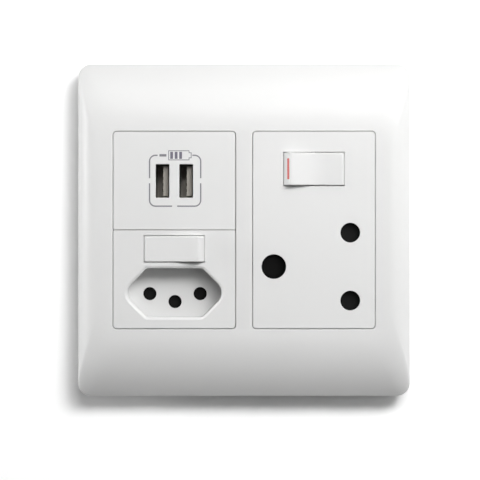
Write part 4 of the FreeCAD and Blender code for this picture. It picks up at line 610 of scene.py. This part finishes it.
def soften(obj, width, rounded):
    """Rounds the sharp edges and keeps the flat faces flat in the light."""
    obj.data.shade_smooth()
    bevel = obj.modifiers.new("bevel", "BEVEL")
    bevel.width = width
    bevel.segments = EDGE_STEPS
    bevel.limit_method = "ANGLE"
    bevel.angle_limit = rounded
    bevel.miter_outer = "MITER_ARC"
    bake(obj)
    keep_flat(obj)


def dress(obj, material, body, nodes=()):
    obj.data.materials.clear()
    obj.data.materials.append(material)
    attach(obj, body)
    if nodes:
        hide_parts(*nodes)
    return obj


def material_once(name, make, *values):
    """A material by its name, made the first time it is asked for. The frame has its own, plainer ones."""
    name += "_look"
    return bpy.data.materials.get(name) or make(name, *values)


def plate_plastic():
    looks = bpy.context.scene.socket_plastic
    # The plate's curved bands get a painted shade with the edge lightness
    return material_once("plate_plastic", glossy_plastic, looks.plate, looks, looks.edge)


def cover_plastic():
    looks = bpy.context.scene.socket_plastic
    # The covers' recesses and other deep parts get a painted shade
    return material_once("cover_plastic", glossy_plastic, looks.cover, looks, looks.painted_shade_lightness)


# Pieces

def plate_level(size, share, inset):
    """The plate's outline and place at a share of the way down its curved bands."""
    dome = size.depth - size.rim
    end_r = (size.end_band ** 2 + dome ** 2) / (2 * dome)
    side_r = (size.side_band ** 2 + dome ** 2) / (2 * dome)
    turn = math.asin(size.end_band / end_r) * share
    drop = end_r * (1 - math.cos(turn))
    out_x = math.sqrt(max(side_r ** 2 - (side_r - drop) ** 2, 0))
    out_z = end_r * math.sin(turn)
    half_x = size.width / 2 - size.side_band + out_x - inset
    half_z = size.width / 2 - size.end_band + out_z - inset
    corner = size.brow + (size.corner - size.brow) * math.sqrt(drop / dome)
    outline = rounded_outline(half_x, half_z, corner - inset / 2, FINE_STEPS)
    return outline, size.depth - drop


def plate_shell(solid, size):
    """The plate's outer and inner skins without its front and back faces. Gives the edges of both."""
    outer = []
    inner = []
    for index in range(size.levels + 1):
        outline, out = plate_level(size, index / size.levels, 0)
        outer.append(solid.ring(outline, out))
        outline, out = plate_level(size, index / size.levels, size.wall)
        inner.append(solid.ring(outline, out - size.wall))
    edge = size.rounding
    full = size.width / 2
    foot = full - edge / 2
    inside = full - size.wall
    rim = rounded_outline(full, full, size.corner, FINE_STEPS)
    outer.append(solid.ring(rim, edge))
    rim = rounded_outline(foot, foot, size.corner - edge / 2, FINE_STEPS)
    outer.append(solid.ring(rim, 0))
    lip = rounded_outline(inside, inside, size.corner - size.wall / 2, FINE_STEPS)
    inner.append(solid.ring(lip, 0))
    solid.skin(outer)
    solid.skin(inner)
    solid.skin([outer[-1], inner[-1]])
    return outer[0], inner[0]


def plate_opening(solid, size, x):
    """The wall round one opening, with a rounded front edge. Gives its front and back edges."""
    half_x = size.opening_width / 2
    half_z = size.opening_height / 2
    wall = size.opening_wall
    edge = size.rounding
    back = rounded_outline(half_x + wall, half_z + wall, size.opening_corner + wall)
    mouth = rounded_outline(half_x, half_z, size.opening_corner)
    rings = [
        solid.ring(back, size.depth - size.wall, x),
        solid.ring(back, size.opening_back, x),
        solid.ring(mouth, size.opening_back, x),
    ]
    for step in range(EDGE_STEPS + 1):
        turn = math.radians(90 * step / EDGE_STEPS)
        grow = edge * (1 - math.cos(turn))
        rim = rounded_outline(half_x + grow, half_z + grow, size.opening_corner + grow)
        rings.append(solid.ring(rim, size.depth - edge + edge * math.sin(turn), x))
    solid.skin(rings)
    return rings[-1], rings[0]


class BuildPlate(bpy.types.Operator):
    """Builds the domed cover plate with its two openings."""
    bl_idname = "socket.build_plate"
    bl_label = "Build cover plate"

    def execute(self, context):
        size = context.scene.socket_plate
        solid = Solid()
        edges = [plate_shell(solid, size)]
        for side in (-1, 1):
            edges.append(plate_opening(solid, size, side * size.column))
        fronts, backs = zip(*edges)
        solid.fill(*fronts)
        solid.fill(*backs)
        plate = solid.object("cover_plate_skin")
        plate.data.shade_smooth()
        plate.data.set_sharp_from_angle(angle=size.sharp)
        even = plate.modifiers.new("normals", "WEIGHTED_NORMAL")
        even.keep_sharp = True
        bake(plate)
        dress(plate, plate_plastic(), "socket", ["cover_plate"])
        return {"FINISHED"}


def cover_blank(context, tall, z, name):
    """A module's face with its skirt, before its openings are cut."""
    covers = context.scene.socket_covers
    x = context.scene.socket_plate.column * (1 if name.startswith("large") else -1)
    solid = Solid()
    half_x = covers.width / 2
    half_z = tall / 2
    top_corner = covers.corner if z >= 0 else covers.split_corner
    low_corner = covers.corner if z <= 0 else covers.split_corner
    corners = [(half_x, half_z), (-half_x, half_z), (-half_x, -half_z), (half_x, -half_z)]
    outline = rounded_corners(corners, (top_corner, top_corner, low_corner, low_corner))
    solid.prism(outline, covers.back, covers.proud, x, z)
    made = solid.object(name)
    inside = rounded_outline(covers.width / 2 - covers.skirt, tall / 2 - covers.skirt, covers.corner / 2)
    combine(made, cutter(inside, covers.back - PAST, covers.proud - covers.face, x, z), "DIFFERENCE")
    return made, x


class BuildLargeCover(bpy.types.Operator):
    """Builds the large socket's cover with its rocker window and three pin holes."""
    bl_idname = "socket.build_large_cover"
    bl_label = "Build large socket cover"

    def execute(self, context):
        covers = context.scene.socket_covers
        parts = context.scene.socket_parts
        made, x = cover_blank(context, covers.tall, 0.0, "large_cover_skin")
        drum = drum_cutter(x, parts.pivot, parts.large_z, parts.window, parts.large_tall)
        combine(made, drum, "DIFFERENCE")
        holes = (
            (parts.line_x, parts.large_mid + parts.large_step, parts.line_r),
            (parts.line_x, parts.large_mid - parts.large_step, parts.line_r),
            (parts.earth_x, parts.large_mid, parts.earth_r),
        )
        for hole_x, hole_z, radius in holes:
            tool = cutter(circle_outline(radius), covers.back, covers.proud + PAST, x + hole_x, hole_z)
            combine(made, tool, "DIFFERENCE")
        soften(made, covers.rounding, covers.rounded)
        dress(made, cover_plastic(), "socket", ["large_socket_cover"])
        return {"FINISHED"}


def recess_outline(recess, grow, shrink):
    """A shape with level edges above and below, slants at 45 degrees and a round tip at each side."""
    share = math.sqrt(2) - 1
    half_z = recess.height / 2 + grow - shrink
    flat = (recess.width - recess.height) / 2 + share * (recess.tip + grow - shrink)
    tip = flat + half_z
    corners = [(tip, 0), (flat, half_z), (-flat, half_z), (-tip, 0), (-flat, -half_z), (flat, -half_z)]
    tip_radius = recess.tip + grow
    radius = recess.corner + grow
    return rounded_corners(corners, (tip_radius, radius, radius, tip_radius, radius, radius))


class BuildSmallCover(bpy.types.Operator):
    """Builds the small socket's cover with its rocker window, six-sided recess and three pin holes."""
    bl_idname = "socket.build_small_cover"
    bl_label = "Build small socket cover"

    def execute(self, context):
        covers = context.scene.socket_covers
        parts = context.scene.socket_parts
        recess = context.scene.socket_recess
        made, x = cover_blank(context, covers.short, -covers.half_z, "small_cover_skin")
        floor = covers.proud - recess.depth
        bowl = cutter(
            recess_outline(recess, recess.wall, 0), floor - recess.floor,
            covers.proud - covers.face / 2, x, recess.z,
            recess_outline(recess, recess.wall, recess.draft),
        )
        combine(made, bowl, "UNION")
        drum = drum_cutter(x, parts.pivot, parts.small_z, parts.window, parts.small_tall)
        combine(made, drum, "DIFFERENCE")
        hollow = cutter(
            recess_outline(recess, 0, recess.rim), floor, covers.proud + PAST, x, recess.z,
            recess_outline(recess, 0, recess.draft),
        )
        combine(made, hollow, "DIFFERENCE")
        holes = (
            (-parts.small_x, parts.small_line),
            (parts.small_x, parts.small_line),
            (0, parts.small_earth),
        )
        for hole_x, hole_z in holes:
            round_hole = circle_outline(parts.small_r, HOLE_STEPS)
            tool = cutter(round_hole, floor - recess.floor - PAST, floor + PAST, x + hole_x, hole_z)
            combine(made, tool, "DIFFERENCE")
        soften(made, covers.rounding, covers.rounded)
        rim = cutter(
            recess_outline(recess, recess.rim, 0), covers.proud - recess.rim,
            covers.proud + recess.rim, x, recess.z,
            recess_outline(recess, 0, recess.rim),
        )
        combine(made, rim, "DIFFERENCE")
        keep_flat(made)
        dress(made, cover_plastic(), "socket", ["small_socket_cover"])
        return {"FINISHED"}


class BuildChargingCover(bpy.types.Operator):
    """Builds the charging module's front with its two port openings."""
    bl_idname = "socket.build_charging_cover"
    bl_label = "Build charging cover"

    def execute(self, context):
        covers = context.scene.socket_covers
        ports = context.scene.socket_ports
        made, x = cover_blank(context, covers.short, covers.half_z, "usb_cover_skin")
        outline = rounded_outline(ports.width / 2, ports.height / 2, ports.corner, FEW_STEPS)
        for side in (-1, 1):
            tool = cutter(outline, covers.back, covers.proud + PAST, x + side * ports.spacing / 2, ports.z)
            combine(made, tool, "DIFFERENCE")
        soften(made, covers.hole_rounding, covers.rounded)
        dress(made, cover_plastic(), "socket", ["usb_front_cover"])
        return {"FINISHED"}


class Print(Solid):
    """Flat printed marks on a cover's front."""

    def __init__(self, front, lift):
        super().__init__()
        self.low = front - lift
        self.high = front + lift

    def bar(self, low_x, high_x, low_z, high_z):
        outline = [(high_x, low_z), (high_x, high_z), (low_x, high_z), (low_x, low_z)]
        self.prism(outline, self.low, self.high)

    def bend(self, x, z, quarter, inner, outer):
        """A quarter of a ring."""
        turns = [math.radians(90 * (quarter + step / CORNER_STEPS)) for step in range(CORNER_STEPS + 1)]
        outline = [(x + outer * math.cos(turn), z + outer * math.sin(turn)) for turn in turns]
        outline += [(x + inner * math.cos(turn), z + inner * math.sin(turn)) for turn in reversed(turns)]
        self.prism(outline, self.low, self.high)


def print_frame(marks, size, middle):
    """The frame round the ports, with a gap in each side and room for the battery above."""
    half = size.stroke / 2
    left = middle - size.width / 2
    right = middle + size.width / 2
    low = size.z - size.height / 2
    high = size.z + size.height / 2
    for x in (left, right):
        marks.bar(x - half, x + half, low + size.corner, size.z - size.gap)
        marks.bar(x - half, x + half, size.z + size.gap, high - size.corner)
    marks.bar(left + size.corner, middle - size.low_left, low - half, low + half)
    marks.bar(middle + size.low_right, right - size.corner, low - half, low + half)
    marks.bar(right - size.top_right, right - size.corner, high - half, high + half)
    marks.bar(left + size.corner, left + size.top_left, high - half, high + half)
    for quarter, (side, rise) in enumerate(QUARTERS):
        x = middle + side * (size.width / 2 - size.corner)
        z = size.z + rise * (size.height / 2 - size.corner)
        marks.bend(x, z, quarter, size.corner - half, size.corner + half)


def print_battery(marks, size, left, high):
    """A dash, and the outline of a battery with a small tip."""
    marks.bar(left + size.dash_left, left + size.dash_right, high - size.dash_half, high + size.dash_half)
    begin = left + size.cell_left
    end = begin + size.cell_long
    low = high - size.cell_half
    top = high + size.cell_half
    thin = size.thin
    nub = size.nub
    marks.bar(begin, end, top - thin, top)
    marks.bar(begin, end, low, low + thin)
    marks.bar(begin, begin + thin, low + thin, top - thin)
    marks.bar(end - thin, end, low + thin, high - nub)
    marks.bar(end - thin, end, high + nub, top - thin)
    marks.bar(end, end + nub, high - nub - thin, high - nub)
    marks.bar(end, end + nub, high + nub, high + nub + thin)
    marks.bar(end + nub - thin, end + nub, high - nub, high + nub)


def print_bars(marks, size, left, high):
    """The bars in the battery."""
    for step in range(size.bars):
        middle = left + size.cell_left + size.bar_first + step * size.bar_step
        low_x = middle - size.bar_wide
        high_x = middle + size.bar_wide
        marks.bar(low_x, high_x, high - size.bar_tall, high + size.bar_tall)


class BuildPrint(bpy.types.Operator):
    """Builds the printed frame and battery sign on the charging module."""
    bl_idname = "socket.build_print"
    bl_label = "Build print"

    def execute(self, context):
        size = context.scene.socket_print
        looks = context.scene.socket_plastic
        front = context.scene.socket_covers.proud
        middle = size.x - context.scene.socket_plate.column
        left = middle - size.width / 2
        high = size.z + size.height / 2
        lines = Print(front, size.lift)
        print_frame(lines, size, middle)
        print_battery(lines, size, left, high)
        finish = (looks.matt_rough, looks.fine, looks.sheen)
        ink = material_once("print_line", matt_plastic, size.tint, looks, *finish)
        dress(lines.object("frame_print"), ink, "socket")
        bars = Print(front, size.lift)
        print_bars(bars, size, left, high)
        ink = material_once("print_bar", matt_plastic, size.dark, looks, *finish)
        dress(bars.object("bar_print"), ink, "socket")
        return {"FINISHED"}


class DressPlastic(bpy.types.Operator):
    """Gives the plastic pieces of the CAD model their materials."""
    bl_idname = "socket.dress_plastic"
    bl_label = "Dress plastic pieces"

    def execute(self, context):
        looks = context.scene.socket_plastic
        hidden = (looks.matt_rough, looks.coarse, looks.sheen)
        shown = (looks.matt_rough, looks.medium, looks.sheen)
        smooth = (looks.mark_rough, looks.fine, looks.sheen)
        sooty = (looks.shutter_rough, looks.medium, looks.shutter_sheen)
        inner = material_once("inner_plastic", matt_plastic, looks.inner, looks, *hidden)
        red = material_once("red_plastic", matt_plastic, looks.red, looks, *smooth)
        black = material_once("shutter_plastic", matt_plastic, looks.black, looks, *sooty)
        tongue = material_once("tongue_plastic", matt_plastic, looks.tongue, looks, *shown)
        dark = material_once("dark_plastic", matt_plastic, looks.dark, looks, *hidden)
        board = material_once("board", circuit_board, context.scene.socket_board)
        materials = {
            "rocker": cover_plastic(), "rocker_flag": red, "plunger": inner, "inner_plate": inner,
            "shutter": black, "socket_base": inner,
        }
        for size in ("large", "small"):
            for part, material in materials.items():
                paint(f"{size}_{part}", material)
        for node in ("mounting_frame", "usb_rear_housing"):
            paint(node, inner)
        for node in ("usb_left_tongue", "usb_right_tongue"):
            paint(node, tongue)
        for node in ("usb_transformer", "usb_capacitors", "usb_terminal_block"):
            paint(node, dark)
        paint("usb_circuit_board", board)
        return {"FINISHED"}


def paint(node, material):
    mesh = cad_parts[node].data
    mesh.materials.clear()
    mesh.materials.append(material)


class DressMetal(bpy.types.Operator):
    """Gives the metal pieces of the CAD model their materials."""
    bl_idname = "socket.dress_metal"
    bl_label = "Dress metal pieces"

    def execute(self, context):
        looks = context.scene.socket_metal
        upright = (1, 1, looks.stretch)
        across = (looks.stretch, 1, 1)
        worn = looks.rough + looks.rougher
        steel = material_once("steel", worn_metal, looks.steel, looks, looks.rough, upright)
        shell = material_once("shell_steel", worn_metal, looks.shell, looks, worn, upright)
        brass = material_once("contact_brass", worn_metal, looks.brass, looks, looks.rough, across)
        # The port contacts' near-black colour is painted shade
        dull = material_once("dull_contact", worn_metal, looks.dull, looks, worn, upright)
        steel_parts = ("terminal_screws", "case_screws", "plunger_spring", "shutter_spring")
        brass_parts = (
            "moving_contact", "feed_terminal", "live_contact", "neutral_contact", "earth_contact",
        )
        for size in ("large", "small"):
            for part in steel_parts:
                paint(f"{size}_{part}", steel)
            for part in brass_parts:
                paint(f"{size}_{part}", brass)
        for node in ("box_screws", "usb_terminal_screws", "usb_case_screws"):
            paint(node, steel)
        for side in ("left", "right"):
            paint(f"usb_{side}_shell", shell)
            paint(f"usb_{side}_contacts", dull)
        return {"FINISHED"}


# Stage

def area_light(settings, name):
    """A soft light that faces the plate."""
    data = bpy.data.lights.new(name, "AREA")
    data.shape = "RECTANGLE"
    data.size = getattr(settings, name + "_wide")
    data.size_y = getattr(settings, name + "_tall")
    data.energy = getattr(settings, name)
    made = bpy.data.objects.new(name, data)
    made.location = getattr(settings, name + "_at")
    made.rotation_euler = (-made.location).to_track_quat("-Z", "Y").to_euler()
    bpy.context.scene.collection.objects.link(made)
    return made


def build_wall(stage):
    reach = stage.wall_reach
    solid = Solid()
    solid.fill(solid.ring([(side * reach, rise * reach) for side, rise in QUARTERS], -stage.wall_back))
    wall = solid.object("wall")
    if wall.data.polygons[0].normal.y > 0:
        wall.data.flip_normals()
    wall.data.materials.append(wall_material(stage))


def build_world(stage):
    """Even light of one strength, seen by the camera as plain white."""
    world = bpy.data.worlds.new("surroundings")
    world.use_nodes = True
    tree = world.node_tree
    tree.nodes.clear()
    path = tree.nodes.new("ShaderNodeLightPath")
    mixed = tree.nodes.new("ShaderNodeMixShader")
    output = tree.nodes.new("ShaderNodeOutputWorld")
    for index, strength in enumerate((stage.world, 1.0)):
        light = tree.nodes.new("ShaderNodeBackground")
        light.inputs["Color"].default_value = (1, 1, 1, 1)
        light.inputs["Strength"].default_value = strength
        tree.links.new(light.outputs[0], mixed.inputs[index + 1])
    tree.links.new(path.outputs["Is Camera Ray"], mixed.inputs[0])
    tree.links.new(mixed.outputs[0], output.inputs["Surface"])
    bpy.context.scene.world = world


def build_camera(stage, front):
    """The camera looks straight at the wall, as the photo does."""
    scale = stage.scale / MM
    data = bpy.data.cameras.new("camera")
    data.sensor_width = SENSOR_WIDTH
    data.lens = scale * stage.distance / stage.pixels * data.sensor_width
    data.clip_end = stage.distance * 2
    camera = bpy.data.objects.new("camera", data)
    camera.location = (-stage.across / scale, -(stage.distance + front), -stage.above / scale)
    camera.rotation_euler = (math.radians(90), 0, 0)
    bpy.context.scene.collection.objects.link(camera)
    bpy.context.scene.camera = camera


class BuildStage(bpy.types.Operator):
    """Builds the wall, the lights, the even surroundings and the camera."""
    bl_idname = "socket.build_stage"
    bl_label = "Build stage"

    def execute(self, context):
        stage = context.scene.socket_stage
        build_wall(stage)
        for name in ("key", "side", "ceiling", "near", "fill", "left", "back"):
            area_light(context.scene.socket_lights, name)
        build_world(stage)
        build_camera(stage, context.scene.socket_plate.depth)
        context.scene.view_settings.view_transform = "Standard"
        return {"FINISHED"}


# Sidebar and steps

class SocketPanel(bpy.types.Panel):
    """The socket's settings and steps in the sidebar."""
    bl_idname = "VIEW3D_PT_socket"
    bl_label = "Wall socket"
    bl_space_type = "VIEW_3D"
    bl_region_type = "UI"
    bl_category = "Socket"

    def draw(self, context):
        for operator in OPERATORS:
            self.layout.operator(operator.bl_idname)
        for key, group in SETTINGS.items():
            box = self.layout.box()
            box.label(text=group.__name__)
            settings = getattr(context.scene, key)
            for name in group.__annotations__:
                box.prop(settings, name)


SETTINGS = {
    "socket_plate": PlateSettings,
    "socket_covers": CoverSettings,
    "socket_parts": SocketSettings,
    "socket_recess": RecessSettings,
    "socket_ports": PortSettings,
    "socket_print": PrintSettings,
    "socket_plastic": PlasticSettings,
    "socket_metal": MetalSettings,
    "socket_board": BoardSettings,
    "socket_stage": StageSettings,
    "socket_lights": LightSettings,
}
OPERATORS = (
    BuildPlate, BuildLargeCover, BuildSmallCover, BuildChargingCover, BuildPrint,
    DressPlastic, DressMetal, BuildStage,
)


def register():
    for group in SETTINGS.values():
        bpy.utils.register_class(group)
    for key, group in SETTINGS.items():
        setattr(bpy.types.Scene, key, bpy.props.PointerProperty(type=group))
    for operator in OPERATORS:
        bpy.utils.register_class(operator)
    bpy.utils.register_class(SocketPanel)


def unregister():
    bpy.utils.unregister_class(SocketPanel)
    for operator in reversed(OPERATORS):
        bpy.utils.unregister_class(operator)
    for key in SETTINGS:
        delattr(bpy.types.Scene, key)
    for group in reversed(list(SETTINGS.values())):
        bpy.utils.unregister_class(group)


def main():
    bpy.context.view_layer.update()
    register()
    bpy.ops.socket.build_plate()
    bpy.ops.socket.build_large_cover()
    bpy.ops.socket.build_small_cover()
    bpy.ops.socket.build_charging_cover()
    bpy.ops.socket.build_print()
    bpy.ops.socket.dress_plastic()
    bpy.ops.socket.dress_metal()
    bpy.ops.socket.build_stage()


if __name__ == "__main__":
    main()
